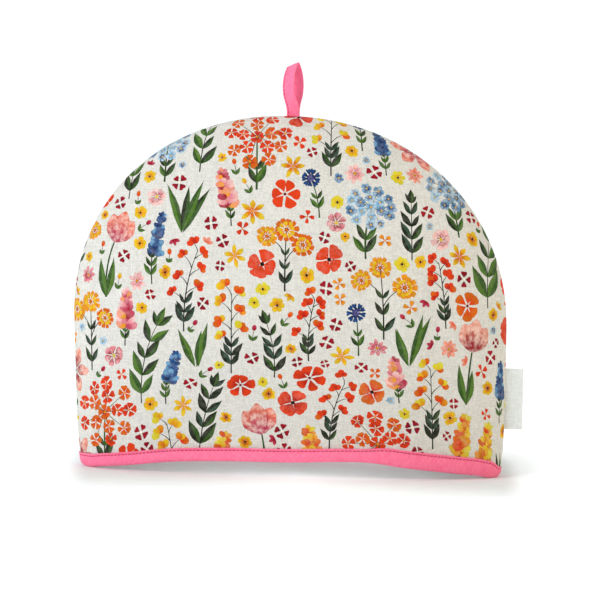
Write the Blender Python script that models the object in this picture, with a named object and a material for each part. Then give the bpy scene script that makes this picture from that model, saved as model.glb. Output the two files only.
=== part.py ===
"""Padded dome tea cosy: two printed cotton panels, a bound hem, a tape loop and a side label.

Units are metres. Z is up, the front panel faces -Y and the hem rests on Z = 0. The two panels meet
in the seam plane Y = 0, which runs over the dome from one hem corner to the other. The hem is an
open oval. Its two ends lie flat on the table, and its front and back edges arch up between them,
as they do on two flat padded panels that are sewn along a curve and opened out.
"""

import math

import bmesh
import bpy

# Body
BODY_WIDTH = 0.336  # across the widest part, about 120 mm above the hem
BODY_HEIGHT = 0.2760  # hem corners to the top of the dome
SHOULDER_HEIGHT = 0.118  # where the upright sides turn into the dome
OUTLINE_POWER = 2.08  # 2 is an ellipse, more is squarer
SECTION_POWER = 1.6  # how full the section is where it closes on the seam
LEAN = 0.030  # the whole body leans to its left, this much for each metre of height
CENTRE_SHIFT = -0.0036  # keeps the origin under the middle of everything, label included

# Side taper below the shoulder
TAPER_SLOPE = 0.016  # slow narrowing from the shoulder to the hem
TAPER_PINCH = 0.033  # quick narrowing where the binding draws the hem in
PINCH_REACH = 0.0112  # height over which that fades

# Padding
WALL = 0.005  # printed cotton, wadding and inner cotton
HEM_WALL = 0.0036  # the same layers, flattened under the binding
WALL_FULL_FROM = 0.030  # height at which the wall has its full thickness
SEAM_GAP = 0.0003  # between the edges of the two panels
SEAM_ROUND = 0.0016  # radius of the groove along the seam

# How the seam opens for what is sewn into it: fully up to the first value, not past the second
OPENING_DEEP = (0.004, 0.030)  # share of the way from the seam to the middle of the panel
OPENING_ACROSS = (0.56, 0.95)  # distance from the loop's middle, in loop widths
OPENING_UNDER = (0.012, 0.030)  # depth below the top of the dome
OPENING_PAST = (0.001, 0.008)  # distance past the ends of the label

# Hem and binding
BACK_LIFT = 0.45  # the back hem stands up this share of what the front hem does
LIFT_BELOW = 0.014  # the cloth moves up as a whole below this height
LIFT_ENDS = 0.130  # and is undisturbed above this one
TAPE = 0.0010  # thickness of the pink binding tape
FIT_GAP = 0.00035  # between a panel and what is wrapped or sewn over it
BINDING_FRONT = 0.0106  # height of the binding on the outside
BINDING_INSIDE = 0.0098  # and on the inside
BINDING_WIDER = 0.0033  # how much higher the outside is towards the right
BINDING_WIDENS = (0.052, 0.080)  # and between which places it grows
BINDING_MIDDLE = 0.0056  # both walls bend with the cloth at this height
BINDING_ROUND = 0.0014  # radius of its lower edges
BINDING_LIP = 0.0004  # how far the outer top edge curls away from the cloth

# Hanging loop
LOOP_X = 0.0026  # its middle, to the right of the top of the dome
LOOP_WIDTH = 0.0100
LOOP_THICKNESS = 0.0013
LOOP_TURN = math.radians(29)  # the loop is twisted about the vertical, above its feet
LOOP_TURN_FROM = 0.002
LOOP_TURN_TO = 0.016
LOOP_SLANT = 0.40  # slope of the fold at the top of the loop
LOOP_TOP = 0.0392  # height of the middle of that fold above the dome

# Side label
LABEL_LOW = 0.0375
LABEL_HIGH = 0.0847
LABEL_OUT = 0.0136  # how far it stands out of the seam
LABEL_ROOT = 0.0030  # how deep it is sewn into the seam
LABEL_THICKNESS = 0.0010
LABEL_FOLD = 0.0006  # width of the rounded fold at its free edge
LABEL_FOLD_SHARE = 0.4  # share of the thickness that is left at the very edge
LABEL_BOW = 0.0016  # how far its free edge curls forward

# How far the front hem stands above its corners, from left to right: (x, lift)
HEM_ROWS = [
    (-0.1555, 0.0),
    (-0.1470, 0.0013),
    (-0.1235, 0.0045),
    (-0.0920, 0.0090),
    (-0.0500, 0.0113),
    (0.0, 0.0122),
    (0.0400, 0.0134),
    (0.0620, 0.0129),
    (0.0850, 0.0096),
    (0.1200, 0.0053),
    (0.1450, 0.0022),
    (0.1555, 0.0),
]

# Half-depth of the body at each height: (height, half_depth)
DEPTH_ROWS = [(0.0, 0.055), (0.095, 0.062), (BODY_HEIGHT, 0.052)]

# Soft folds: (side, x_at_hem, x_at_top, half_width, depth, from_height, to_height)
# side is -1 on the front and 1 on the back, and a negative depth is a ridge.
FOLD_ROWS = [
    (-1, 0.030, 0.042, 0.012, 0.0026, 0.185, 0.330),
    (-1, 0.092, 0.084, 0.020, -0.0018, -0.060, 0.250),
    (-1, 0.122, 0.112, 0.018, 0.0022, -0.060, 0.220),
    (-1, -0.052, -0.070, 0.030, 0.0020, -0.080, 0.130),
    (-1, -0.104, -0.088, 0.020, 0.0016, 0.060, 0.270),
    (-1, -0.010, -0.022, 0.024, -0.0014, 0.120, 0.300),
    (1, 0.058, 0.048, 0.026, 0.0026, -0.060, 0.170),
    (1, -0.046, -0.060, 0.022, 0.0022, 0.090, 0.300),
    (1, -0.112, -0.104, 0.020, 0.0018, -0.060, 0.190),
    (1, 0.104, 0.092, 0.018, -0.0016, 0.020, 0.240),
]

# Middle line of the front leg of the loop, from the seam up: (out_from_seam, above_dome)
LOOP_LEG = [
    (0.00078, -0.0044),
    (0.00080, -0.0012),
    (0.00110, 0.0020),
    (0.00380, 0.0090),
    (0.00680, 0.0170),
    (0.00760, 0.0240),
    (0.00610, 0.0310),
    (0.00320, 0.0362),
]

# How finely the solids are divided
ACROSS = 16  # steps from the middle of a panel to its seam
ROWS = 9  # from the hem to the shoulder
SECTORS = 32  # over the dome
LOOP_STEPS = 3  # for each span of the loop's middle line
LABEL_COLUMNS = 5  # across the label
LABEL_ROWS = 8  # from its lower end to its upper end

HALF_WIDTH = BODY_WIDTH / 2
DOME_RISE = BODY_HEIGHT - SHOULDER_HEIGHT
PANEL_BOTTOM = TAPE + FIT_GAP
LOOP_POCKET = LOOP_THICKNESS + FIT_GAP  # half the room between the panels for the loop's feet
LABEL_POCKET = LABEL_THICKNESS / 2 + FIT_GAP


def smoothstep(start, end, value):
    """0 at start, 1 at end, level at both."""
    t = min(max((value - start) / (end - start), 0.0), 1.0)
    return t * t * (3 - 2 * t)


def eased(rows, value):
    """Value of a (position, value) table, level at each row."""
    for (here, low), (there, high) in zip(rows, rows[1:]):
        if value <= there:
            return low + (high - low) * smoothstep(here, there, value)
    return rows[-1][1]


def flowing(rows, value):
    """Value of a (position, value) table on a smooth curve through its rows, level at both ends."""
    for index, ((here, low), (there, high)) in enumerate(zip(rows, rows[1:])):
        if here <= value <= there:
            slopes = []
            for row in (index, index + 1):
                before, after = rows[max(row - 1, 0)], rows[min(row + 1, len(rows) - 1)]
                level = row in (0, len(rows) - 1)
                slopes.append(0.0 if level else (after[1] - before[1]) / (after[0] - before[0]))
            gap = there - here
            t = (value - here) / gap
            bend = gap * t * (1 - t) * (slopes[0] * (1 - t) - slopes[1] * t)
            return low + (high - low) * smoothstep(0.0, 1.0, t) + bend
    return rows[0][1] if value <= rows[0][0] else rows[-1][1]


def side_width(z):
    """Half-width of the body at or below the shoulder."""
    share = max(1 - z / SHOULDER_HEIGHT, 0.0)
    return HALF_WIDTH * (1 - TAPER_SLOPE * share - TAPER_PINCH * math.exp(-z / PINCH_REACH))


def wall_at(z):
    return HEM_WALL + (WALL - HEM_WALL) * smoothstep(BINDING_FRONT, WALL_FULL_FROM, z)


def fold_at(side, x, z):
    """How far the cloth lies inside its plain shape, towards the seam plane."""
    depth = 0.0
    for row_side, x_hem, x_top, half_width, amount, low, high in FOLD_ROWS:
        if row_side == side and low < z < high:
            middle = x_hem + (x_top - x_hem) * z / BODY_HEIGHT
            along = math.sin(math.pi * (z - low) / (high - low)) ** 2
            depth += amount * along * math.exp(-(((x - middle) / half_width) ** 2))
    return depth


def hem_lift(side, x, z):
    """How far the cloth is lifted by the arch of its hem."""
    lift = flowing(HEM_ROWS, x) * (1 - smoothstep(LIFT_BELOW, LIFT_ENDS, z))
    return lift if side < 0 else lift * BACK_LIFT


def binding_top(x):
    """Height of the outer edge of the binding above the hem."""
    return BINDING_FRONT + BINDING_WIDER * smoothstep(*BINDING_WIDENS, x)


def seam_opening(x, z, reach):
    """Half the room that the seam leaves for the loop and the label. reach is 1 at the seam."""
    near_seam = 1 - smoothstep(*OPENING_DEEP, 1 - reach)
    at_loop = 1 - smoothstep(*OPENING_ACROSS, abs(x - LOOP_X) / LOOP_WIDTH)
    at_loop *= 1 - smoothstep(*OPENING_UNDER, BODY_HEIGHT - z)
    past = max(LABEL_LOW - z, z - LABEL_HIGH)
    at_label = 1 - smoothstep(*OPENING_PAST, past) if x > 0 else 0.0
    room = max((LOOP_POCKET - SEAM_GAP / 2) * at_loop, (LABEL_POCKET - SEAM_GAP / 2) * at_label)
    return room * near_seam


def seam_groove(y):
    """How far the outer cloth draws in beside the seam, at a distance y from the seam plane."""
    away = max(SEAM_ROUND - y, 0.0)
    return SEAM_ROUND - math.sqrt(SEAM_ROUND**2 - away**2)


def lean(x, y, z):
    return (x - LEAN * z + CENTRE_SHIFT, y, z)


def cloth_point(side, across, up, offset, edge=SEAM_GAP / 2, grooved=False):
    """A point of the body, offset outwards from the outer cloth.

    across runs from -1 to 1 between the seams. up is -1 at the table, 0 at the shoulder and 1 at
    the top of the dome.
    """
    above = max(up, 0.0)
    z = SHOULDER_HEIGHT * (1 + up) if up < 0 else SHOULDER_HEIGHT + (DOME_RISE + offset) * up
    width = side_width(z) if up < 0 else side_width(SHOULDER_HEIGHT)
    inside = min(abs(across) ** OUTLINE_POWER + above**OUTLINE_POWER, 1.0)
    reach = inside ** (1 / OUTLINE_POWER)
    depth = (eased(DEPTH_ROWS, z) - edge + offset) * (1 - inside) ** (1 / SECTION_POWER)
    groove = seam_groove(depth) if grooved else 0.0
    x = (width + offset - groove) * across
    if up > 0:
        z -= groove * up
    y = edge + depth + (seam_opening(x, z, reach) if edge else 0.0)
    y -= fold_at(side, x, z) * (1 - reach**4)
    return lean(x, side * y, z + hem_lift(side, x, z))


def across_steps():
    """0 to 1 from the middle of a panel to the seam, close together near the seam."""
    steps = []
    for index in range(ACROSS + 1):
        angle = math.pi / 2 * (1 - (1 - index / ACROSS) ** 1.3)
        steps.append(math.sin(angle) ** (2 / OUTLINE_POWER))
    return steps


def row_steps():
    """-1 to 0 from the hem to the shoulder, with rows where the binding and the label need them."""
    above = SHOULDER_HEIGHT - BINDING_FRONT
    rows = [BINDING_FRONT + above * i / ROWS for i in range(ROWS + 1)]
    rows += [PANEL_BOTTOM, BINDING_MIDDLE]
    for past in OPENING_PAST:
        rows += [LABEL_LOW - past, LABEL_HIGH + past]
    return [z / SHOULDER_HEIGHT - 1 for z in sorted(rows)]


def sector_angles():
    """0 to pi over the dome, with extra ones beside the loop."""
    angles = [math.pi * i / SECTORS for i in range(SECTORS + 1)]
    for widths in OPENING_ACROSS:
        for x in (LOOP_X - LOOP_WIDTH * widths, LOOP_X + LOOP_WIDTH * widths):
            share = abs(x / HALF_WIDTH) ** (OUTLINE_POWER / 2)
            angles.append(math.acos(math.copysign(share, x)))
    return sorted(angles)


def new_object(name, bm, finish):
    bmesh.ops.remove_doubles(bm, verts=bm.verts, dist=0.000001)
    bmesh.ops.recalc_face_normals(bm, faces=bm.faces)
    mesh = bpy.data.meshes.new(name)
    bm.to_mesh(mesh)
    bm.free()
    mesh.shade_smooth()
    mesh.set_sharp_from_angle(angle=math.radians(50))
    mesh.materials.append(finish)
    made = bpy.data.objects.new(name, mesh)
    bpy.context.scene.collection.objects.link(made)
    return made


def add_strip(bm, row, next_row):
    """Faces between two rows of vertices. A row of one vertex makes a fan."""
    if len(row) == 1:
        for here, there in zip(next_row, next_row[1:]):
            bm.faces.new((row[0], there, here))
        return
    for index in range(len(row) - 1):
        bm.faces.new((row[index], row[index + 1], next_row[index + 1], next_row[index]))


def panel_surface(bm, side, outer):
    """One face of a panel's wall. Returns its hem row and its seam row, left to right."""

    def vertex(across, up):
        z = SHOULDER_HEIGHT * (1 + min(up, 0.0))
        offset = 0.0 if outer else -wall_at(z)
        return bm.verts.new(cloth_point(side, across, up, offset, grooved=outer))

    steps = across_steps()
    columns = [-s for s in reversed(steps[1:])] + steps
    rows = [[vertex(across, up) for across in columns] for up in row_steps()]
    for row, next_row in zip(rows, rows[1:]):
        add_strip(bm, row, next_row)

    power = 2 / OUTLINE_POWER
    rings = []
    for reach in steps:
        ring = []
        for angle in reversed(sector_angles()) if reach else [math.pi / 2]:
            cosine = math.copysign(abs(math.cos(angle)) ** power, math.cos(angle))
            ring.append(vertex(reach * cosine, reach * abs(math.sin(angle)) ** power))
        rings.append(ring)
    for ring, next_ring in zip(rings, rings[1:]):
        add_strip(bm, ring, next_ring)

    left_seam = [row[0] for row in rows[:-1]]
    right_seam = [row[-1] for row in reversed(rows[:-1])]
    return rows[0], left_seam + rings[-1] + right_seam


def make_panel(name, side, finish):
    bm = bmesh.new()
    outer_hem, outer_seam = panel_surface(bm, side, outer=True)
    inner_hem, inner_seam = panel_surface(bm, side, outer=False)
    add_strip(bm, outer_hem, inner_hem)
    add_strip(bm, outer_seam, inner_seam)
    return new_object(name, bm, finish)


def binding_profile(top):
    """Closed section of the tape folded over the hem: (offset, height) from outside to inside."""
    out = FIT_GAP + TAPE
    back = -HEM_WALL - FIT_GAP - TAPE
    profile = [(out + BINDING_LIP, top), (out, BINDING_MIDDLE)]
    for turn in range(4):
        angle = math.radians(30 * turn)
        offset = out - BINDING_ROUND * (1 - math.cos(angle))
        profile.append((offset, BINDING_ROUND * (1 - math.sin(angle))))
    for turn in range(4):
        angle = math.radians(90 - 30 * turn)
        offset = back + BINDING_ROUND * (1 - math.cos(angle))
        profile.append((offset, BINDING_ROUND * (1 - math.sin(angle))))
    profile += [(back, BINDING_MIDDLE), (back, BINDING_INSIDE)]
    back += TAPE
    profile += [(back, BINDING_INSIDE), (back, BINDING_MIDDLE), (back, TAPE)]
    profile += [(FIT_GAP, TAPE), (FIT_GAP, BINDING_MIDDLE)]
    profile.append((FIT_GAP + BINDING_LIP * 0.8, top))
    return profile


def make_binding(finish):
    bm = bmesh.new()
    steps = across_steps()
    columns = [-s for s in reversed(steps[1:])] + steps
    places = [(-1, across) for across in columns]
    places += [(1, across) for across in reversed(columns[1:-1])]
    rings = []
    for side, across in places:
        ring = []
        top = binding_top(across * side_width(BINDING_FRONT))
        for offset, height in binding_profile(top):
            up = height / SHOULDER_HEIGHT - 1
            ring.append(bm.verts.new(cloth_point(side, across, up, offset, edge=0.0)))
        rings.append(ring + ring[:1])
    for ring, next_ring in zip(rings, rings[1:] + rings[:1]):
        add_strip(bm, ring, next_ring)
    return new_object("hem_binding", bm, finish)


def smooth_route(points, steps):
    """Points of a Catmull-Rom curve through the given ones."""
    ends = [points[0]] + points + [points[-1]]
    route = []
    for a, b, c, d in zip(ends, ends[1:], ends[2:], ends[3:]):
        for step in range(steps):
            t = step / steps
            weights = (
                (-t + 2 * t**2 - t**3) / 2,
                (2 - 5 * t**2 + 3 * t**3) / 2,
                (t + 4 * t**2 - 3 * t**3) / 2,
                (t**3 - t**2) / 2,
            )
            axes = zip(a, b, c, d)
            route.append(tuple(sum(w * v for w, v in zip(weights, axis)) for axis in axes))
    return route + [points[-1]]


def loop_section():
    """Half-rounded section of the folded tape: (along_width, through_thickness)."""
    wide, thick = LOOP_WIDTH / 2, LOOP_THICKNESS / 2
    corner = thick * 0.5
    half = [(wide, -corner), (wide, corner), (wide - corner, thick), (corner - wide, thick)]
    return half + [(-along, -through) for along, through in half]


def make_loop(finish):
    bm = bmesh.new()
    front = [(-out, up) for out, up in LOOP_LEG]
    back = [(out, up) for out, up in reversed(LOOP_LEG)]
    route = smooth_route(front + [(0.0, LOOP_TOP)] + back, LOOP_STEPS)
    rings = []
    for index, (y, up) in enumerate(route):
        before, after = route[max(index - 1, 0)], route[min(index + 1, len(route) - 1)]
        run, rise = after[0] - before[0], after[1] - before[1]
        length = math.hypot(run, rise)
        turn = LOOP_TURN * smoothstep(LOOP_TURN_FROM, LOOP_TURN_TO, up)
        ring = []
        for along, through in loop_section():
            deep = y - through * rise / length
            high = up + through * run / length
            high += LOOP_SLANT * along * max(up, 0.0) / LOOP_TOP
            x = LOOP_X + along * math.cos(turn) + deep * math.sin(turn)
            y_turned = deep * math.cos(turn) - along * math.sin(turn)
            ring.append(bm.verts.new(lean(x, y_turned, BODY_HEIGHT + high)))
        rings.append(ring + ring[:1])
    for ring, next_ring in zip(rings, rings[1:]):
        add_strip(bm, ring, next_ring)
    for ring in (rings[0], rings[-1]):
        bm.faces.new(ring[:-1])
    return new_object("hanging_loop", bm, finish)


def make_label(finish):
    """A folded ribbon tab: the fold is its free edge, and both ends are sewn into the seam."""
    bm = bmesh.new()
    outs = [-LABEL_ROOT] + [LABEL_OUT * step / LABEL_COLUMNS for step in range(LABEL_COLUMNS)]
    outs += [LABEL_OUT - LABEL_FOLD, LABEL_OUT]
    faces = []
    for half in (LABEL_THICKNESS / 2, -LABEL_THICKNESS / 2):
        grid = []
        for row in range(LABEL_ROWS + 1):
            share = row / LABEL_ROWS
            z = LABEL_LOW + (LABEL_HIGH - LABEL_LOW) * share
            line = []
            for out in outs:
                thin = LABEL_FOLD_SHARE if out == LABEL_OUT else 1.0
                free = max(out, 0.0) / LABEL_OUT
                bow = LABEL_BOW * free**2 * (0.6 + 0.4 * math.cos(math.pi * share))
                line.append(bm.verts.new(lean(side_width(z) + out, half * thin - bow, z)))
            grid.append(line)
        for line, next_line in zip(grid, grid[1:]):
            add_strip(bm, line, next_line)
        faces.append(grid)
    front, rear = faces
    add_strip(bm, front[0], rear[0])
    add_strip(bm, front[-1], rear[-1])
    add_strip(bm, [line[0] for line in front], [line[0] for line in rear])
    add_strip(bm, [line[-1] for line in front], [line[-1] for line in rear])
    return new_object("side_label", bm, finish)


def cloth_finish(name, colour, roughness):
    made = bpy.data.materials.new(name)
    made.use_nodes = True
    shader = made.node_tree.nodes["Principled BSDF"]
    shader.inputs["Base Color"].default_value = (*colour, 1.0)
    shader.inputs["Roughness"].default_value = roughness
    shader.inputs["Metallic"].default_value = 0.0
    return made


def main():
    for old in list(bpy.data.objects):
        bpy.data.objects.remove(old)
    make_panel("front_panel", -1, cloth_finish("front_print", (0.79, 0.78, 0.73), 0.9))
    make_panel("back_panel", 1, cloth_finish("back_print", (0.79, 0.78, 0.73), 0.9))
    make_binding(cloth_finish("binding_tape", (1.0, 0.19, 0.35), 0.8))
    make_loop(cloth_finish("loop_tape", (1.0, 0.19, 0.35), 0.8))
    make_label(cloth_finish("label_ribbon", (0.72, 0.72, 0.72), 0.7))


main()
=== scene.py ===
"""Looks of the padded tea cosy: printed cotton panels, pink binding, tape loop and side label.

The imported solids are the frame. Every piece here follows the same form, from the same sizes as the
solids, in metres. The print is drawn in millimetres on the flat cloth and becomes part of the
panels' own mesh: each painted stroke is a patch of faces that carries its colours.
"""

import random
from collections import Counter
from dataclasses import dataclass, replace
from math import atan2, copysign, cos, degrees, dist, exp, hypot, inf, pi, radians, sin, sqrt

import bmesh
import bpy
import numpy as np
from mathutils import Matrix, Vector, noise
from mathutils.geometry import delaunay_2d_cdt


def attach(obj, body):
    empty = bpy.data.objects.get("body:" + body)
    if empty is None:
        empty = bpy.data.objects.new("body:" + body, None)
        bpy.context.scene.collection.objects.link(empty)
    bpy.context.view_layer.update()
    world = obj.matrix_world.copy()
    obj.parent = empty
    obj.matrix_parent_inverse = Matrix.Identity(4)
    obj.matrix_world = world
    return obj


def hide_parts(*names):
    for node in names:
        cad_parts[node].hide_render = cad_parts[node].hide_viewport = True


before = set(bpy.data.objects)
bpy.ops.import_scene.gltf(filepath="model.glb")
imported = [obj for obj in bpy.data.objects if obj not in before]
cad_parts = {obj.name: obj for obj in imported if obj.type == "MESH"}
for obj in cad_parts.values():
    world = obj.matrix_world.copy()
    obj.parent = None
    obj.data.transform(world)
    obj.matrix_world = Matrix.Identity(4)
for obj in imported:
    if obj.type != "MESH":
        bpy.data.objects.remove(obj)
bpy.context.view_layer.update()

# ---------------------------------------------------------------- sizes of the solids, in metres
BODY_WIDTH = 0.336
BODY_HEIGHT = 0.2760
SHOULDER_HEIGHT = 0.118
OUTLINE_POWER = 2.08
SECTION_POWER = 1.6
LEAN = 0.030
CENTRE_SHIFT = -0.0036
TAPER_SLOPE = 0.016
TAPER_PINCH = 0.033
PINCH_REACH = 0.0112
WALL = 0.005
HEM_WALL = 0.0036
WALL_FULL_FROM = 0.030
SEAM_GAP = 0.0003
SEAM_ROUND = 0.0016
BACK_LIFT = 0.45
LIFT_BELOW = 0.014
LIFT_ENDS = 0.130
TAPE = 0.0010
FIT_GAP = 0.00035
BINDING_FRONT = 0.0106
BINDING_INSIDE = 0.0098
BINDING_WIDER = 0.0033
BINDING_WIDENS = (0.052, 0.080)
BINDING_DROP = 0.0062
BINDING_DROPS = (0.1520, 0.1640)
BINDING_ROUND = 0.0014
LOOP_X = 0.0026
LOOP_WIDTH = 0.0100
LOOP_THICKNESS = 0.0013
LOOP_TURN = radians(29)
LOOP_TURNS = (0.002, 0.016)
LOOP_SLANT = 0.40
LOOP_TOP = 0.0392
LABEL_LOW = 0.0375
LABEL_HIGH = 0.0847
LABEL_OUT = 0.0136
LABEL_ROOT = 0.0030
LABEL_THICKNESS = 0.0010
LABEL_BOW = 0.0016
OPENING_DEEP = (0.004, 0.030)
OPENING_ACROSS = (0.56, 0.95)
OPENING_UNDER = (0.012, 0.030)
OPENING_PAST = (0.001, 0.008)

# How far the front hem stands above its corners, from left to right: (x, lift)
HEM_ROWS = [(-0.1555, 0.0), (-0.1470, 0.0013), (-0.1235, 0.0045), (-0.0920, 0.0090)]
HEM_ROWS += [(-0.0500, 0.0113), (0.0, 0.0122), (0.0400, 0.0134), (0.0620, 0.0129)]
HEM_ROWS += [(0.0850, 0.0096), (0.1200, 0.0053), (0.1450, 0.0022), (0.1555, 0.0)]
DEPTH_ROWS = [(0.0, 0.055), (0.095, 0.062), (BODY_HEIGHT, 0.052)]  # (height, half_depth)

# (side, x_at_hem, x_at_top, half_width, depth, from_height, to_height)
FOLD_ROWS = [
    (-1, 0.030, 0.042, 0.012, 0.0026, 0.185, 0.330),
    (-1, 0.092, 0.084, 0.020, -0.0018, -0.060, 0.250),
    (-1, 0.122, 0.112, 0.018, 0.0022, -0.060, 0.220),
    (-1, -0.052, -0.070, 0.030, 0.0020, -0.080, 0.130),
    (-1, -0.104, -0.088, 0.020, 0.0016, 0.060, 0.270),
    (-1, -0.010, -0.022, 0.024, -0.0014, 0.120, 0.300),
    (1, 0.058, 0.048, 0.026, 0.0026, -0.060, 0.170),
    (1, -0.046, -0.060, 0.022, 0.0022, 0.090, 0.300),
    (1, -0.112, -0.104, 0.020, 0.0018, -0.060, 0.190),
    (1, 0.104, 0.092, 0.018, -0.0016, 0.020, 0.240),
]

# Middle line of the front leg of the loop: (out_from_seam, above_dome)
LOOP_LEG = [(0.00078, -0.0044), (0.00080, -0.0012), (0.00110, 0.0020), (0.00380, 0.0090)]
LOOP_LEG += [(0.00680, 0.0170), (0.00760, 0.0240), (0.00610, 0.0310), (0.00320, 0.0362)]

HALF_WIDTH = BODY_WIDTH / 2
DOME_RISE = BODY_HEIGHT - SHOULDER_HEIGHT
PANEL_BOTTOM = TAPE + FIT_GAP
TAPE_OUT = FIT_GAP + TAPE  # the tape's outer face, from the outer cloth
TAPE_IN = -HEM_WALL - FIT_GAP - TAPE  # and its inner face
LOOP_POCKET = LOOP_THICKNESS + FIT_GAP
LABEL_POCKET = LABEL_THICKNESS / 2 + FIT_GAP

# ---------------------------------------------------------------- fineness and small relief
MM = 0.001
GRID = 2.6  # mm between the points of a printed face
INSIDE_GRID = 6.5  # mm between the points of an inner face
EDGE_STEP = 2.4  # mm between the points of a panel's outline
SEAM_RINGS = (0.35, 0.8, 1.5, 2.5, 3.8)  # mm inside the seam, for the groove
BILLOW, BILLOW_SIZE = 0.0011, 0.055  # height and size of the broad unevenness of the padding
RUMPLE, RUMPLE_SIZE = 0.00035, 0.018  # and of the smaller one
PUCKERS = (0.00055, 0.0135, 0.010)  # along the seam: (height, pitch, reach)
HEM_PUCKERS = (0.00045, 0.0115, 0.009)  # above the binding
PUCKER_WANDER, WANDER_SIZE = 3.6, 0.03
DOME_RADIUS = 0.150  # turns an angle round the dome into a length of seam
CALM_AT_SEAM, CALM_AT_HEM, BILLOW_FROM = 0.004, 0.003, 0.012  # where the relief has its full height


def smoothstep(start, end, value):
    t = min(max((value - start) / (end - start), 0.0), 1.0)
    return t * t * (3 - 2 * t)


def eased(rows, value):
    """Value of a (position, value) table, level at each row."""
    for (here, low), (there, high) in zip(rows, rows[1:]):
        if value <= there:
            return low + (high - low) * smoothstep(here, there, value)
    return rows[-1][1]


def neighbours(rows, index):
    """The rows before and after one of them. At an end of the table one of the two is itself."""
    return rows[max(index - 1, 0)], rows[min(index + 1, len(rows) - 1)]


def flowing(rows, value):
    """Value of a (position, value) table on a smooth curve through its rows, level at both ends."""
    for index, ((here, low), (there, high)) in enumerate(zip(rows, rows[1:])):
        if here <= value <= there:
            slopes = []
            for row in (index, index + 1):
                before, after = neighbours(rows, row)
                level = row in (0, len(rows) - 1)
                slopes.append(0.0 if level else (after[1] - before[1]) / (after[0] - before[0]))
            gap = there - here
            t = (value - here) / gap
            bend = gap * t * (1 - t) * (slopes[0] * (1 - t) - slopes[1] * t)
            return low + (high - low) * smoothstep(0.0, 1.0, t) + bend
    return rows[0][1] if value <= rows[0][0] else rows[-1][1]


def weighted(weights, points):
    """The weighted sum of points."""
    return tuple(sum(w * v for w, v in zip(weights, axis)) for axis in zip(*points))


# ---------------------------------------------------------------- form of the body
def side_width(z):
    share = max(1 - z / SHOULDER_HEIGHT, 0.0)
    return HALF_WIDTH * (1 - TAPER_SLOPE * share - TAPER_PINCH * exp(-z / PINCH_REACH))


def wall_at(z):
    return HEM_WALL + (WALL - HEM_WALL) * smoothstep(BINDING_FRONT, WALL_FULL_FROM, z)


def fold_at(side, x, z):
    depth = 0.0
    for row_side, x_hem, x_top, half_width, amount, low, high in FOLD_ROWS:
        if row_side == side and low < z < high:
            middle = x_hem + (x_top - x_hem) * z / BODY_HEIGHT
            along = sin(pi * (z - low) / (high - low)) ** 2
            depth += amount * along * exp(-(((x - middle) / half_width) ** 2))
    return depth


def hem_lift(side, x, z):
    lift = flowing(HEM_ROWS, x) * (1 - smoothstep(LIFT_BELOW, LIFT_ENDS, z))
    return lift if side < 0 else lift * BACK_LIFT


def binding_top(x):
    """Height of the outer edge of the binding above the hem. It drops at its right-hand end."""
    top = BINDING_FRONT + BINDING_WIDER * smoothstep(*BINDING_WIDENS, x)
    return top - BINDING_DROP * smoothstep(*BINDING_DROPS, x)


def seam_opening(x, z, reach):
    """Half the room that the seam leaves for the loop and the label."""
    near_seam = 1 - smoothstep(*OPENING_DEEP, 1 - reach)
    at_loop = 1 - smoothstep(*OPENING_ACROSS, abs(x - LOOP_X) / LOOP_WIDTH)
    at_loop *= 1 - smoothstep(*OPENING_UNDER, BODY_HEIGHT - z)
    past = max(LABEL_LOW - z, z - LABEL_HIGH)
    at_label = 1 - smoothstep(*OPENING_PAST, past) if x > 0 else 0.0
    room = max((LOOP_POCKET - SEAM_GAP / 2) * at_loop, (LABEL_POCKET - SEAM_GAP / 2) * at_label)
    return room * near_seam


def seam_groove(y):
    away = max(SEAM_ROUND - y, 0.0)
    return SEAM_ROUND - sqrt(SEAM_ROUND**2 - away**2)


def puckers(row, along, wander, away):
    """Height of a row of puckers at a length along it and a distance away from it."""
    height, pitch, reach = row
    return height * sin(2 * pi * along / pitch + wander) * exp(-away / reach)


def relief(side, x, z, reach):
    """Uneven padding and the puckers that the seam draws in, as a depth towards the seam plane."""
    from_seam = HALF_WIDTH * (1 - reach)
    above_hem = max(z - binding_top(x), 0.0)
    broad = noise.noise(Vector((x, z, side * 3.0)) / BILLOW_SIZE)
    small = noise.noise(Vector((x, z, side * 5.0)) / RUMPLE_SIZE)
    round_dome = atan2(max(z - SHOULDER_HEIGHT, 0.0), x) * DOME_RADIUS
    wander = PUCKER_WANDER * noise.noise(Vector((x, z, side)) / WANDER_SIZE)
    drawn_in = puckers(PUCKERS, round_dome + min(z - SHOULDER_HEIGHT, 0.0), wander, from_seam)
    drawn_in += puckers(HEM_PUCKERS, x + 0.3 * z, wander, above_hem)
    broad *= smoothstep(0.0, BILLOW_FROM, above_hem)
    free = smoothstep(0.0, CALM_AT_SEAM, from_seam) * smoothstep(0.0, CALM_AT_HEM, above_hem)
    return free * (BILLOW * broad + RUMPLE * small + drawn_in)


def lean(x, y, z):
    return (x - LEAN * z + CENTRE_SHIFT, y, z)


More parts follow.
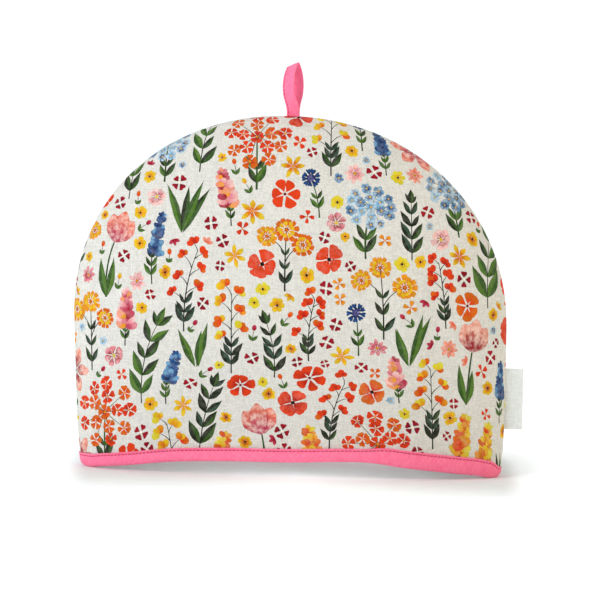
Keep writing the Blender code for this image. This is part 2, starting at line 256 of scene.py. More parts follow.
def cloth_point(side, across, up, offset, edge=SEAM_GAP / 2, grooved=False, rough=True):
    """A point of the body, offset outwards from the outer cloth.

    across runs from -1 to 1 between the seams. up is -1 at the table, 0 at the shoulder and 1 at
    the top of the dome.
    """
    above = max(up, 0.0)
    z = SHOULDER_HEIGHT * (1 + up) if up < 0 else SHOULDER_HEIGHT + (DOME_RISE + offset) * up
    width = side_width(z) if up < 0 else side_width(SHOULDER_HEIGHT)
    inside = min(abs(across) ** OUTLINE_POWER + above**OUTLINE_POWER, 1.0)
    reach = inside ** (1 / OUTLINE_POWER)
    depth = (eased(DEPTH_ROWS, z) - edge + offset) * (1 - inside) ** (1 / SECTION_POWER)
    groove = seam_groove(depth) if grooved else 0.0
    x = (width + offset - groove) * across
    z -= groove * above
    y = edge + depth + (seam_opening(x, z, reach) if edge else 0.0)
    y -= fold_at(side, x, z) * (1 - reach**4)
    if rough:
        y -= relief(side, x, z, reach)
    return lean(x, side * y, z + hem_lift(side, x, z))


# ---------------------------------------------------------------- flat cloth
def arc_lengths(samples=600):
    """How far it is from the middle of a panel to its seam along the cloth: (reach, length)."""
    reaches, lengths, total, last = [], [], 0.0, None
    for index in range(samples + 1):
        reach = sin(pi / 2 * index / samples) ** (2 / OUTLINE_POWER)
        depth = DEPTH_ROWS[1][1] * (1 - min(reach**OUTLINE_POWER, 1.0)) ** (1 / SECTION_POWER)
        here = (reach * HALF_WIDTH, depth)
        total += dist(here, last) if last else 0.0
        reaches.append(reach)
        lengths.append(total / HALF_WIDTH)
        last = here
    return np.array(reaches), np.array(lengths)


REACHES, LENGTHS = arc_lengths()
FLAT_REACH = float(LENGTHS[-1])  # a flat panel is this much wider than it looks when worn
FLAT_TOP = (SHOULDER_HEIGHT + DOME_RISE * FLAT_REACH) / MM
FLAT_HALF = HALF_WIDTH * FLAT_REACH / MM


def gauge(s, t):
    """Where a point of the flat cloth, in mm, lies: (across, up, reach), still flat."""
    height = t * MM
    if height < SHOULDER_HEIGHT:
        across = s * MM / side_width(height)
        return across, height / SHOULDER_HEIGHT - 1, abs(across)
    across, up = s * MM / side_width(SHOULDER_HEIGHT), (height - SHOULDER_HEIGHT) / DOME_RISE
    return across, up, (abs(across) ** OUTLINE_POWER + up**OUTLINE_POWER) ** (1 / OUTLINE_POWER)


def worn(s, t):
    """The same point once the cosy is sewn and filled out: (across, up) of cloth_point()."""
    across, up, flat = gauge(s, t)
    if flat < 1e-6:
        return across, up
    share = float(np.interp(flat, LENGTHS, REACHES)) / flat
    return across * share, (up * share if up > 0 else up)


def outline_points(inset=0.0):
    """The flat panel's outline in mm, anticlockwise from its lower left corner, drawn in by inset."""
    reach = FLAT_REACH - inset * MM / HALF_WIDTH
    bottom, shoulder = PANEL_BOTTOM / MM, SHOULDER_HEIGHT / MM
    rows = int((shoulder - bottom) / EDGE_STEP)
    half = side_width(PANEL_BOTTOM) * reach / MM
    columns = int(2 * half / EDGE_STEP)
    hem = [(-half + 2 * half * i / columns, bottom) for i in range(columns)]
    heights = [bottom + (shoulder - bottom) * i / rows for i in range(rows)]
    right = [(side_width(h * MM) * reach / MM, h) for h in heights]
    sectors = int(pi * FLAT_HALF * 0.95 / EDGE_STEP)
    power = 2 / OUTLINE_POWER
    dome = []
    for index in range(sectors + 1):
        angle = pi * index / sectors
        cosine = copysign(abs(cos(angle)) ** power, cos(angle))
        s = side_width(SHOULDER_HEIGHT) * reach * cosine / MM
        dome.append((s, shoulder + DOME_RISE * reach * abs(sin(angle)) ** power / MM))
    left = [(-x, h) for x, h in reversed(right[1:])]
    return hem, right + dome + left


# ---------------------------------------------------------------- print: strokes
def srgb(*values):
    """A linear colour from the usual 0 to 255 values."""
    shares = [value / 255 for value in values]
    return tuple(s / 12.92 if s <= 0.04045 else ((s + 0.055) / 1.055) ** 2.4 for s in shares)


PALETTE = {  # red, green and blue, from 0 to 255
    "vermilion": (220, 62, 18),
    "scarlet": (186, 34, 18),
    "orange": (212, 104, 20),
    "amber": (228, 152, 28),
    "yellow": (226, 192, 34),
    "lemon": (220, 210, 60),
    "crimson": (158, 14, 36),
    "wine": (112, 10, 32),
    "coral": (226, 106, 78),
    "salmon": (236, 150, 128),
    "blush": (242, 192, 188),
    "pink": (220, 124, 138),
    "rose": (188, 58, 88),
    "blue": (32, 76, 134),
    "navy": (22, 42, 90),
    "sky": (104, 160, 200),
    "ice": (174, 208, 230),
    "violet": (88, 84, 146),
    "grass": (78, 118, 34),
    "fern": (48, 84, 26),
    "pine": (24, 34, 14),
    "teal": (38, 72, 54),
    "soot": (20, 14, 8),
    "cream": (248, 242, 226),
    "bark": (74, 44, 20),
}
SHAPES = {  # (skew, fullness): a stroke's half-width at t along it is sin(pi * t**skew) ** fullness
    "round": (1.6, 0.7),
    "fan": (2.1, 0.62),
    "narrow": (1.15, 0.75),
    "leaf": (0.85, 1.15),
}
PETAL, LEAF = 1.0, 0.5  # how a stroke's two colours meet: root to tip, or side to side
WASH_SPAN = 0.4  # part of the inner colour's alpha that says how watery a stroke is
STEPS_FOR = [(4.2, 4), (8.0, 6), (16.0, 8), (inf, 10)]  # (up to this length, steps)
dice = random.Random()  # every draw of the print comes from here, in order; lay_out() seeds it
between, pick = dice.uniform, dice.choice


@dataclass
class Stroke:
    """One painted stroke, in mm: its outline, its bent axis and its two colours."""

    outline: list
    spine: list
    root: tuple
    along: tuple
    length: float
    half: float
    bend: float
    inner: tuple
    outer: tuple
    kind: float
    level: int
    wash: float


def half_width_at(shape, t):
    if shape == "dab":
        return sqrt(max(1 - (2 * t - 1) ** 2, 0.0))
    skew, fullness = SHAPES[shape]
    return sin(pi * t**skew) ** fullness


def jittered(colour, amount=0.10):
    """The named colour, a little lighter or darker and warmer or cooler."""
    value = 1 + between(-amount, amount)
    warm = between(-amount, amount) * 0.5
    red, green, blue = srgb(*PALETTE[colour])
    return (min(red * value * (1 + warm), 1), min(green * value, 1), min(blue * value * (1 - warm), 1))


def away_from(point, angle, distance):
    """The point at a distance from another, along an angle in degrees."""
    turn = radians(angle)
    return (point[0] + distance * cos(turn), point[1] + distance * sin(turn))


def heading(points, index):
    """Direction of a line of points at one of them, in degrees."""
    before, after = neighbours(points, index)
    return degrees(atan2(after[1] - before[1], after[0] - before[0]))


def stroke(
    root, angle, length, width, colours, shape, level=5, wobble=0.0, wash=0.0, bend=0.0, notch=0.0, kind=PETAL
):
    """A petal, leaf or dab that starts at root and points along angle, in degrees.

    bend and notch are shares of its length, and wobble is a share of its width.
    """
    steps = next(count for most, count in STEPS_FOR if length < most)
    along, beside = away_from((0, 0), angle, 1), away_from((0, 0), angle + 90, 1)
    upper, lower, spine = [], [], []
    for index in range(steps + 1):
        t = (1 - cos(pi * index / steps)) / 2
        half = width / 2 * half_width_at(shape, min(max(t, 1e-4), 1 - 1e-4))
        dent = notch * length * smoothstep(0.75, 1.0, t) * (1 if index == steps else 0.2)
        far, off = length * t - dent, bend * length * t * t
        for line, sign in ((upper, 1), (lower, -1)):
            side = off + sign * half * (1 + between(-wobble, wobble))
            line.append(tuple(r + far * a + side * b for r, a, b in zip(root, along, beside)))
        if 0 < index < steps:
            spine.append(tuple(r + far * a + off * b for r, a, b in zip(root, along, beside)))
    outline = lower + upper[-2:0:-1]
    inner, outer = (jittered(colour) for colour in colours)
    return Stroke(outline, spine, root, along, length, width / 2, bend, inner, outer, kind, level, wash)


def leaf(root, angle, length, width, colours, bend=0.0, level=2):
    return stroke(root, angle, length, width, colours, "leaf", level, 0.08, 0.10, bend=bend, kind=LEAF)


def dot(centre, size, colour, level=9):
    """A small round dab."""
    return stroke((centre[0] - size / 2, centre[1]), 0, size, size, (colour, colour), "dab", level, 0.1)


def curve(start, middle, end, steps):
    """Points of a quadratic curve."""
    shares = [index / steps for index in range(steps + 1)]
    return [weighted(((1 - t) ** 2, 2 * t * (1 - t), t * t), (start, middle, end)) for t in shares]


def stem(points, width, colour, level=1, taper=0.5):
    """A thin strip along points, thinner towards its end."""
    left, right = [], []
    for index, point in enumerate(points):
        half = width / 2 * (1 - taper * index / (len(points) - 1)) * between(0.88, 1.12)
        left.append(away_from(point, heading(points, index) + 90, half))
        right.append(away_from(point, heading(points, index) - 90, half))
    length = dist(points[0], points[-1])
    along = tuple((b - a) / length for a, b in zip(points[0], points[-1]))
    shade = jittered(colour)
    outline = right + left[::-1]
    return Stroke(outline, [], points[0], along, length, width, 0.0, shade, shade, PETAL, level, 0.0)


# ---------------------------------------------------------------- print: flower heads
@dataclass
class Head:
    """A flower seen from above. Its sizes are shares of its radius.

    rings: (petals, reach, width, start, notch, shape, [(colour at the root, at the tip), ...])
    """

    rings: list
    eye: tuple  # (size, colour)
    dots: tuple = (0, "soot", 1.5)  # (how many, their colour, width of their ring in eyes)
    wash: float = 0.0  # 0 for flat paint, 1 for watercolour


FLAME = [("vermilion", "vermilion"), ("scarlet", "vermilion"), ("vermilion", "orange")]
SUNNY = [("orange", "yellow"), ("amber", "yellow")]
BUTTER = [("amber", "yellow"), ("yellow", "lemon"), ("orange", "yellow")]
FADED = [("pink", "blush"), ("coral", "salmon"), ("rose", "pink")]
PALE_BLUE = [("blue", "sky"), ("sky", "ice"), ("blue", "ice")]
DARK_RED = [("wine", "crimson"), ("crimson", "crimson")]
OUTER_GOLD = (11, 1, 0.44, 0.25, 0.12, "fan", [("orange", "amber"), ("vermilion", "orange")])
INNER_GOLD = (9, 0.70, 0.38, 0.15, 0.10, "fan", [("amber", "yellow"), ("orange", "yellow")])
OUTER_BLUE = (9, 1, 0.50, 0.22, 0.22, "fan", [("navy", "blue"), ("blue", "sky")])
INNER_BLUE = (7, 0.5, 0.28, 0.05, 0, "narrow", [("violet", "navy")])
HEADS = {
    "poppy": Head([(4, 1, 1.08, 0.05, 0.10, "round", FLAME)], (0.26, "soot"), (7, "soot", 2.1), 0.15),
    "windflower": Head([(6, 1, 0.74, 0.10, 0.05, "fan", FLAME)], (0.20, "wine")),
    "floret": Head([(5, 1, 0.86, 0.08, 0.12, "fan", FLAME)], (0.30, "amber")),
    "marigold": Head([OUTER_GOLD, INNER_GOLD], (0.34, "orange"), (5, "bark", 0.9)),
    "lily": Head(
        [(6, 1, 0.50, 0.10, 0, "narrow", [("rose", "coral"), ("crimson", "salmon")])],
        (0.16, "fern"),
        (9, "crimson", 2.6),
        1.0,
    ),
    "daisy": Head([(8, 1, 0.46, 0.15, 0, "narrow", FADED)], (0.36, "amber"), (4, "bark", 0.8), 0.5),
    "cosmos": Head(
        [(7, 1, 0.66, 0.10, 0.09, "fan", [("rose", "blush"), ("crimson", "pink")])],
        (0.30, "yellow"),
        (5, "orange", 1.5),
        0.8,
    ),
    "star": Head([(6, 1, 0.42, 0.05, 0, "narrow", SUNNY)], (0.2, "amber")),
    "buttercup": Head([(6, 1, 0.80, 0.05, 0.05, "round", BUTTER)], (0.34, "pine"), (4, "bark", 1.6)),
    "cross": Head([(4, 1, 0.92, 0.16, 0.14, "fan", DARK_RED)], (0.34, "cream")),
    "spark": Head([(4, 1, 0.62, 0.05, 0.10, "fan", FLAME + [("orange", "amber")])], (0.24, "amber")),
    "cornflower": Head([OUTER_BLUE, INNER_BLUE], (0.16, "navy")),
    "forget_me_not": Head([(5, 1, 0.90, 0.05, 0.05, "round", PALE_BLUE)], (0.34, "yellow"), wash=0.6),
}


def flower(centre, radius, kind):
    """The rings of petals of one flower, then its eye and the dots round that."""
    head, made = HEADS[kind], []
    for ring, (petals, reach, width, start, notch, shape, pairs) in enumerate(head.rings):
        colours, tilt = pick(pairs), between(0, 360)
        for index in range(petals):
            angle = tilt + 360 * index / petals + between(-36, 36) / petals
            length = radius * (reach - start) * between(0.84, 1.10)
            wide = radius * width * between(0.84, 1.08)
            root, bend = away_from(centre, angle, radius * start), between(-0.08, 0.08)
            look = (shape, 5 + 2 * ring + index % 2, 0.16, head.wash)
            made.append(stroke(root, angle, length, wide, colours, *look, notch=notch, bend=bend))
    size, colour = head.eye
    made.append(dot(centre, radius * size, colour))
    count, colour, spread = head.dots
    for index in range(count):
        angle = 360 * (index + between(-0.2, 0.2)) / count
        place = away_from(centre, angle, radius * size * spread / 2 * between(0.85, 1.15))
        made.append(dot(place, radius * size * between(0.24, 0.32), colour, 10))
    return made


# ---------------------------------------------------------------- print: stems and sprays
GREENS = [("grass", "fern"), ("fern", "pine"), ("fern", "grass")]
DARK_GREENS = [("fern", "pine"), ("pine", "pine"), ("teal", "pine")]
BERRIES = [("vermilion", "vermilion"), ("vermilion", "orange"), ("scarlet", "vermilion")]
GOLD = [("orange", "amber"), ("amber", "yellow"), ("vermilion", "orange"), ("yellow", "lemon")]
LILAC = [("navy", "blue"), ("blue", "blue"), ("blue", "sky")]
BELLS = [("rose", "pink"), ("pink", "blush"), ("amber", "salmon"), ("crimson", "rose")]
TULIPS = [("rose", "coral"), ("coral", "salmon"), ("crimson", "salmon")]
BUDS = [("crimson", "rose"), ("amber", "yellow"), ("vermilion", "orange")]
LOOSE = [("coral", "salmon"), ("crimson", "rose"), ("orange", "yellow")]
LEAF_SPREAD = 38  # degrees between a stem and its leaves
LEAF_WIDTH = 0.34  # of its length


def leaves_along(points, size, greens, every=1, first=1):
    """Leaves on both sides of a stem, smaller towards its end."""
    made = []
    for index in range(first, len(points), every):
        for sign in (-1, 1):
            angle = heading(points, index) + sign * LEAF_SPREAD * between(0.8, 1.2)
            length = size * (1 - 0.45 * index / len(points)) * between(0.8, 1.15)
            made.append(leaf(points[index], angle, length, length * LEAF_WIDTH, pick(greens), -sign * 0.12))
    return made


def bent_stem(height):
    """A stem's points from the origin up, leaning and curving a little."""
    side = between(-0.22, 0.22) * height
    return curve((0, 0), (side * between(-0.4, 0.4), height * 0.55), (side, height), 9)


def sprig(heights, width, colour="pine", taper=0.5):
    """A new plant: (its height, the points of its stem, its strokes so far)."""
    height = between(*heights)
    points = bent_stem(height)
    return height, points, [stem(points, width, colour, taper=taper)]


def twig(points, index, turn, length, bow, bend, steps, width, colour):
    """A side stem that leaves points at one of them: (its tip, its strip)."""
    tip = away_from(points[index], turn, length)
    middle = away_from(points[index], turn - bow, bend)
    return tip, stem(curve(points[index], middle, tip, steps), width, colour)


def leaf_spray():
    height = between(44, 76)
    points = bent_stem(height)
    greens = pick([GREENS, DARK_GREENS])
    made = [stem(points, 1.0, "pine")]
    made += leaves_along(points, height * 0.38, greens, every=2)
    return made + [leaf(points[-1], heading(points, 9), height * 0.26, 5.5, greens[0])]


def grass_tuft():
    """Long thin leaves from one foot."""
    made = []
    for index in range(dice.randint(3, 4)):
        angle, length = 90 + between(-30, 30), between(32, 54)
        root, bend = (between(-1.5, 1.5), 0), between(-0.12, 0.12)
        made.append(leaf(root, angle, length, 6.4, pick(GREENS), bend, 1 + index))
    return made


def tulip():
    height, points, made = sprig((34, 46), 1.6, "fern", 0.2)
    for sign in (-1, 1):
        length = height * between(0.62, 0.8)
        made.append(leaf(points[0], 90 + sign * 20, length, 7, ("grass", "fern"), -sign * 0.16))
    colours = pick(TULIPS)
    for turn, size, level in ((-27, 24, 4), (27, 24, 5), (0, 27, 6)):
        angle = heading(points, 9) + turn
        made.append(stroke(points[-1], angle, size, 15, colours, "narrow", level, 0.06, 1.0))
    return made


def spike(heights, pairs, dab, flowering=0.62, rows=11):
    """Dabs of colour up both sides of a stem, smaller towards the top."""
    height, points, made = sprig(heights, 1.0)
    dense = curve(points[0], points[5], points[-1], 40)
    for row in range(rows):
        index = int((1 - flowering + flowering * row / rows) * 40)
        size = dab * (1.15 - 0.6 * row / rows)
        for sign in (-1, 0, 1):
            angle = heading(dense, index) + sign * between(48, 80)
            length = size * between(0.85, 1.15)
            look = (pick(pairs), "dab", 4 + row % 3, 0.16, 0.2)
            made.append(stroke(dense[index], angle, length, size * 0.72, *look))
    return made + leaves_along(points[:4], height * 0.22, GREENS)


def cluster(kind, heights, radius, rings, flat=1.0):
    """A round head of many small flowers on a stout stem. rings: (how_many, distance)."""
    height, points, made = sprig(heights, 1.6, "fern", 0.3)
    made += leaves_along(points[:5], height * 0.45, GREENS, every=2)
    for count, distance in rings:
        tilt = between(0, 360)
        for index in range(count):
            turn = tilt + 360 * index / count + between(-6, 6)
            place = away_from(points[-1], turn, distance * between(0.94, 1.06))
            place = (place[0], points[-1][1] + (place[1] - points[-1][1]) * flat)
            if distance:
                made.append(stem(curve(points[-1], points[-1], place, 3), 0.8, "fern"))
            made += flower(place, radius * between(0.92, 1.08), kind)
    return made


def forked(kind, heights, radius):
    """Three flowers on a forking stem."""
    height, points, made = sprig(heights, 1.3)
    made += leaves_along(points[:6], height * 0.26, DARK_GREENS, every=2)
    tips = [points[-1]]
    for index, sign in ((4, -1), (5, 1)):
        turn = heading(points, index) + sign * between(40, 52)
        length = height * between(0.38, 0.46)
        tip, strip = twig(points, index, turn, length, sign * 24, height * 0.22, 5, 0.9, "pine")
        made.append(strip)
        tips.append(tip)
    for tip in tips:
        made += flower(tip, radius * between(0.85, 1.1), kind)
    return made


def berry_spray(pairs, size):
    """A curving stem with twigs, each ending in a few berries."""
    height, points, made = sprig((50, 68), 1.1)
    for index in range(3, 10):
        sign = 1 if index % 2 else -1
        angle = heading(points, index) + sign * between(34, 52)
        reach = height * between(0.16, 0.24) * (1.25 - index / 14)
        end, strip = twig(points, index, angle, reach, sign * 17, reach * 0.55, 4, 0.8, "pine")
        made.append(strip)
        for turn in (-62, 0, 62):
            length = size * between(0.85, 1.2)
            look = (pick(pairs), "dab", 5 + (turn > 0), 0.10)
            made.append(stroke(end, angle + turn, length, length * 0.85, *look))
    return made + leaves_along(points[:4], height * 0.26, DARK_GREENS)


def stalked(kind, radius):
    """A flower on a stem with a pair of leaves."""
    _, points, made = sprig((26, 40), 1.2, "fern")
    made += leaves_along(points[:5], 14, GREENS, every=2, first=2)
    return made + flower(points[-1], radius, kind)


def bud():
    """Filler: a tiny sprig with two leaves and a bud."""
    angle, length = between(30, 150), between(6, 10)
    end = away_from((0, 0), angle, length)
    made = [stem(curve((0, 0), (end[0] * 0.4, end[1] * 0.6), end, 3), 0.7, "fern")]
    for sign in (-1, 1):
        made.append(leaf((0, 0), angle + sign * 34, length * 0.75, 2.8, ("grass", "fern")))
    return made + [stroke(end, angle, 5.0, 3.6, pick(BUDS), "dab")]


def petal_trio():
    """Filler: three loose petals."""
    colours, turn = pick(LOOSE), between(0, 360)
    return [stroke((0, 0), turn + 55 * k, 5.4, 3.0, colours, "narrow") for k in range(3)]


def single(kind, smallest, largest):
    return flower((0, 0), between(smallest, largest), kind)


# What is printed, largest first: (how_many, tries, motif, its arguments)
MOTIFS = [
    (3, 400, cluster, "floret", (38, 46), 6.4, [(1, 0), (5, 12.0), (9, 22.5)]),
    (4, 400, forked, "marigold", (46, 58), 10.0),
    (3, 300, cluster, "forget_me_not", (32, 42), 4.7, [(1, 0), (6, 8.8), (11, 16.6)], 0.88),
    (3, 300, tulip),
    (4, 300, berry_spray, BERRIES, 5.4),
    (4, 300, berry_spray, GOLD, 6.2),
    (4, 300, spike, (44, 58), LILAC, 6.6),
    (3, 300, spike, (38, 50), BELLS, 8.0, 0.7, 9),
    (4, 300, spike, (40, 56), GOLD, 8.6, 0.72, 9),
    (3, 300, stalked, "cornflower", 8.5),
    (10, 400, leaf_spray),
    (4, 400, single, "lily", 18.5, 22),
    (6, 400, single, "poppy", 11, 13.5),
    (5, 300, grass_tuft),
    (8, 400, single, "windflower", 10, 13),
    (4, 400, single, "cosmos", 8, 9.5),
    (7, 400, single, "star", 8.5, 10.5),
    (6, 400, single, "daisy", 7.5, 9.0),
    (24, 500, single, "cross", 5.6, 6.8),
    (24, 500, single, "buttercup", 5.6, 6.8),
    (14, 500, single, "spark", 5.2, 6.6),
    (14, 500, single, "cross", 4.2, 5.2),
    (14, 500, single, "buttercup", 4.2, 5.2),
    (8, 300, single, "forget_me_not", 3.4, 4.2),
    (24, 400, bud),
    (14, 300, petal_trio),
]
WIDE_STROKE = 2.2  # mm, half-width from which a stroke has more points inside
CELL = 1.0  # mm, size of a cell of the map that keeps motifs apart
CLEAR = 1.6  # mm kept free round each stroke
OVERRUN = 0.05  # how far past the outline a motif may start
SPOT_SHARES = (1.0, 0.7, 0.35)  # of the way from a stroke's middle to its edge
MARGIN = 60.0  # mm of map round the panel


class Cloth:
    """A map of what is already printed on a flat panel."""

    def __init__(self):
        self.low = np.array((-FLAT_HALF - MARGIN, -MARGIN))
        size = np.array((2 * FLAT_HALF + 2 * MARGIN, FLAT_TOP + 2 * MARGIN)) / CELL
        self.taken = np.zeros(size.astype(int), bool)
        reach = int(CLEAR / CELL)
        span = range(-reach, reach + 1)
        self.disc = [(i, j) for i in span for j in span if i * i + j * j <= (CLEAR / CELL) ** 2]

    def cells(self, spots):
        return np.round((spots - self.low) / CELL).astype(int).T

    def free(self, spots):
        i, j = self.cells(spots)
        return not self.taken[i, j].any()

    def take(self, spots):
        i, j = self.cells(spots)
        for across, up in self.disc:
            self.taken[i + across, j + up] = True


def spots_of(strokes):
    """Points that cover the strokes well enough to keep others off them."""
    spots = []
    for one in strokes:
        middle = np.mean(one.outline, axis=0)
        for corner in one.outline:
            spots += [middle + (np.array(corner) - middle) * share for share in SPOT_SHARES]
        spots.append(middle)
    return np.array(spots)


def moved(strokes, dx, dy):
    made = []
    for one in strokes:
        outline, spine = ([(x + dx, y + dy) for x, y in line] for line in (one.outline, one.spine))
        root = (one.root[0] + dx, one.root[1] + dy)
        made.append(replace(one, outline=outline, spine=spine, root=root))
    return made


def lay_out(seed):
    """All strokes of one panel. Motifs are placed largest first, wherever they are clear."""
    dice.seed(seed)
    cloth, strokes = Cloth(), []
    for how_many, tries, motif, *arguments in MOTIFS:
        for _ in range(how_many):
            made = motif(*arguments)
            spots = spots_of(made)
            middle = spots.mean(axis=0)
            for _ in range(tries):
                s, t = between(-FLAT_HALF, FLAT_HALF), between(0, FLAT_TOP)
                if gauge(s, t)[2] > FLAT_REACH + OVERRUN:
                    continue
                shift = np.array((s, t)) - middle
                if cloth.free(spots + shift):
                    cloth.take(spots + shift)
                    strokes += moved(made, *shift)
                    break
    return strokes


# ---------------------------------------------------------------- helpers for every piece
def turned(faces, over):
    """The same faces, seen from their other side if over is true."""
    return [f[::-1] for f in faces] if over else list(faces)


def add_object(name, data):
    made = bpy.data.objects.new(name, data)
    bpy.context.scene.collection.objects.link(made)
    return made


def place_mesh(name, mesh, finishes, sharp=50):
    for finish in finishes:
        mesh.materials.append(finish)
    mesh.shade_smooth()
    mesh.set_sharp_from_angle(angle=radians(sharp))
    return add_object(name, mesh)


def new_piece(name, bm, *finishes, sharp=50):
    bmesh.ops.recalc_face_normals(bm, faces=bm.faces)
    mesh = bpy.data.meshes.new(name)
    bm.to_mesh(mesh)
    bm.free()
    return place_mesh(name, mesh, finishes, sharp)


def new_tape():
    """An empty mesh and its layer for each vertex's place on the flat cloth."""
    bm = bmesh.new()
    return bm, bm.verts.layers.float_vector.new("cloth_place")


def skin(bm, rows, closed=False):
    """Faces between rows of vertices of the same length, each row an open line or a ring."""
    for row, next_row in zip(rows, rows[1:]):
        for i in range(len(row) - 1 + closed):
            j = (i + 1) % len(row)
            bm.faces.new((row[i], row[j], next_row[j], next_row[i]))


def tube(bm, rings):
    """A closed skin with a cap at both ends."""
    skin(bm, rings, closed=True)
    bm.faces.new(rings[0])
    bm.faces.new(rings[-1])


def runs_along(points):
    """How far each point of a line is from its start."""
    return np.cumsum([0.0] + [dist(a, b) for a, b in zip(points, points[1:])])


STITCH_SIDES = 6
STITCH_RINGS = [(0.0, 0.35), (0.08, 0.8), (0.25, 1.0), (0.75, 1.0), (0.92, 0.8), (1.0, 0.35)]


def add_stitch(bm, start, end, thickness):
    """A short round thread with sunken ends, from start to end."""
    start, end = Vector(start), Vector(end)
    axis = (end - start).normalized()
    across = axis.orthogonal().normalized()
    other = axis.cross(across)
    rings = []
    for share, size in STITCH_RINGS:
        middle, ring = start.lerp(end, share), []
        for turn in (2 * pi * k / STITCH_SIDES for k in range(STITCH_SIDES)):
            spoke = across * cos(turn) + other * sin(turn)
            ring.append(bm.verts.new(middle + spoke * thickness / 2 * size))
        rings.append(ring)
    tube(bm, rings)


# ---------------------------------------------------------------- panels
def inner_points(one):
    """Points inside a stroke: its spine, and on a wide one a ring between that and its edge."""
    points = list(one.spine)
    if one.half > WIDE_STROKE and one.spine:
        count = len(one.spine)
        for line in (one.outline[1 : count + 1], one.outline[: -count - 1 : -1]):
            points += [tuple((np.array(a) + b) / 2) for a, b in zip(line, one.spine)]
    return points


def grid_points(spacing, clear_of_seam):
    """An even net of points over the flat panel, in mm."""
    points, bottom = [], PANEL_BOTTOM / MM
    rise = spacing * sqrt(3) / 2
    columns = int(FLAT_HALF / spacing) + 1
    for row in range(1, int((FLAT_TOP - bottom) / rise) + 1):
        t = bottom + row * rise
        for column in range(-columns, columns + 1):
            s = (column + 0.5 * (row % 2)) * spacing
            if gauge(s, t)[2] < FLAT_REACH - clear_of_seam * MM / HALF_WIDTH:
                points.append((s, t))
    return points


def triangulate(points, faces):
    """Constrained triangles inside the first face.

    Returns the points, the triangles, the faces that each triangle lies in, and the given points
    that each point stands for.
    """
    out = delaunay_2d_cdt([Vector(p) for p in points], [], faces, 0, 1e-5, True)
    kept = [(f, ids) for f, ids in zip(out[2], out[5]) if 0 in ids]
    used = sorted({v for f, _ in kept for v in f})
    index = {old: new for new, old in enumerate(used)}
    triangles = [tuple(index[v] for v in f) for f, _ in kept]
    owners = [ids for _, ids in kept]
    return [tuple(out[0][v]) for v in used], triangles, owners, [out[3][v] for v in used]


def boundary_loop(triangles):
    """The vertices round a triangulated sheet, in order."""
    edges = [edge for f in triangles for edge in zip(f, f[1:] + f[:1])]
    counts = Counter(frozenset(edge) for edge in edges)
    follow = {a: b for a, b in edges if counts[frozenset((a, b))] == 1}
    loop = [next(iter(follow))]
    while len(loop) < len(follow):
        loop.append(follow[loop[-1]])
    return loop


def place_in(one, point):
    """A point's place in a stroke: along it, beside it and how far in from its edge, in mm."""
    dx, dy = point[0] - one.root[0], point[1] - one.root[1]
    u = (dx * one.along[0] + dy * one.along[1]) / one.length
    v = (dy * one.along[0] - dx * one.along[1] - one.bend * one.length * u * u) / one.half
    corners = np.array(one.outline)
    line = np.roll(corners, -1, axis=0) - corners
    share = ((np.array(point) - corners) * line).sum(1) / np.maximum((line * line).sum(1), 1e-9)
    nearest = corners + line * np.clip(share, 0, 1)[:, None]
    return (u, v, np.sqrt(((nearest - point) ** 2).sum(1)).min())


def write_attribute(mesh, name, kind, domain, values):
    mesh.attributes.new(name, kind, domain)
    field = "color" if kind == "FLOAT_COLOR" else "vector"
    mesh.attributes[name].data.foreach_set(field, np.ravel(values))


# A corner's place in its stroke, then its two colours with their alphas, where nothing is printed
BARE = (0.0, 0.0, 0.0, 1.0, 1.0, 1.0, 0.0, 1.0, 1.0, 1.0, 0.0)


def print_attributes(mesh, flat, triangles, owners, strokes):
    """Writes each corner's place in its stroke and the stroke's colours."""
    rows, known = [], {None: BARE}
    for face, owned in zip(triangles, owners):
        top = max((i - 1 for i in owned if i), key=lambda i: (strokes[i].level, i), default=None)
        for vertex in face:
            key = None if top is None else (top, vertex)
            if key not in known:
                one = strokes[top]
                look = (*one.inner, 1.0 - WASH_SPAN * one.wash, *one.outer, one.kind)
                known[key] = (*place_in(one, flat[vertex]), *look)
            rows.append(known[key])
    rows = np.array(rows + [BARE] * (len(mesh.loops) - len(rows)))
    write_attribute(mesh, "print_place", "FLOAT_VECTOR", "CORNER", rows[:, :3])
    write_attribute(mesh, "print_inner", "FLOAT_COLOR", "CORNER", rows[:, 3:7])
    write_attribute(mesh, "print_outer", "FLOAT_COLOR", "CORNER", rows[:, 7:])


def printed_face(strokes):
    """The flat printed face: (points, triangles, the faces that each triangle lies in)."""
    hem, rest = outline_points()
    points = hem + rest
    faces = [list(range(len(points)))]
    for one in strokes:
        faces.append(list(range(len(points), len(points) + len(one.outline))))
        points += one.outline
    for one in strokes:
        points += inner_points(one)
    for inset in SEAM_RINGS:
        points += outline_points(inset)[1]
    points += grid_points(GRID, SEAM_RINGS[-1] + GRID * 0.5)
    return triangulate(points, faces)[:3]


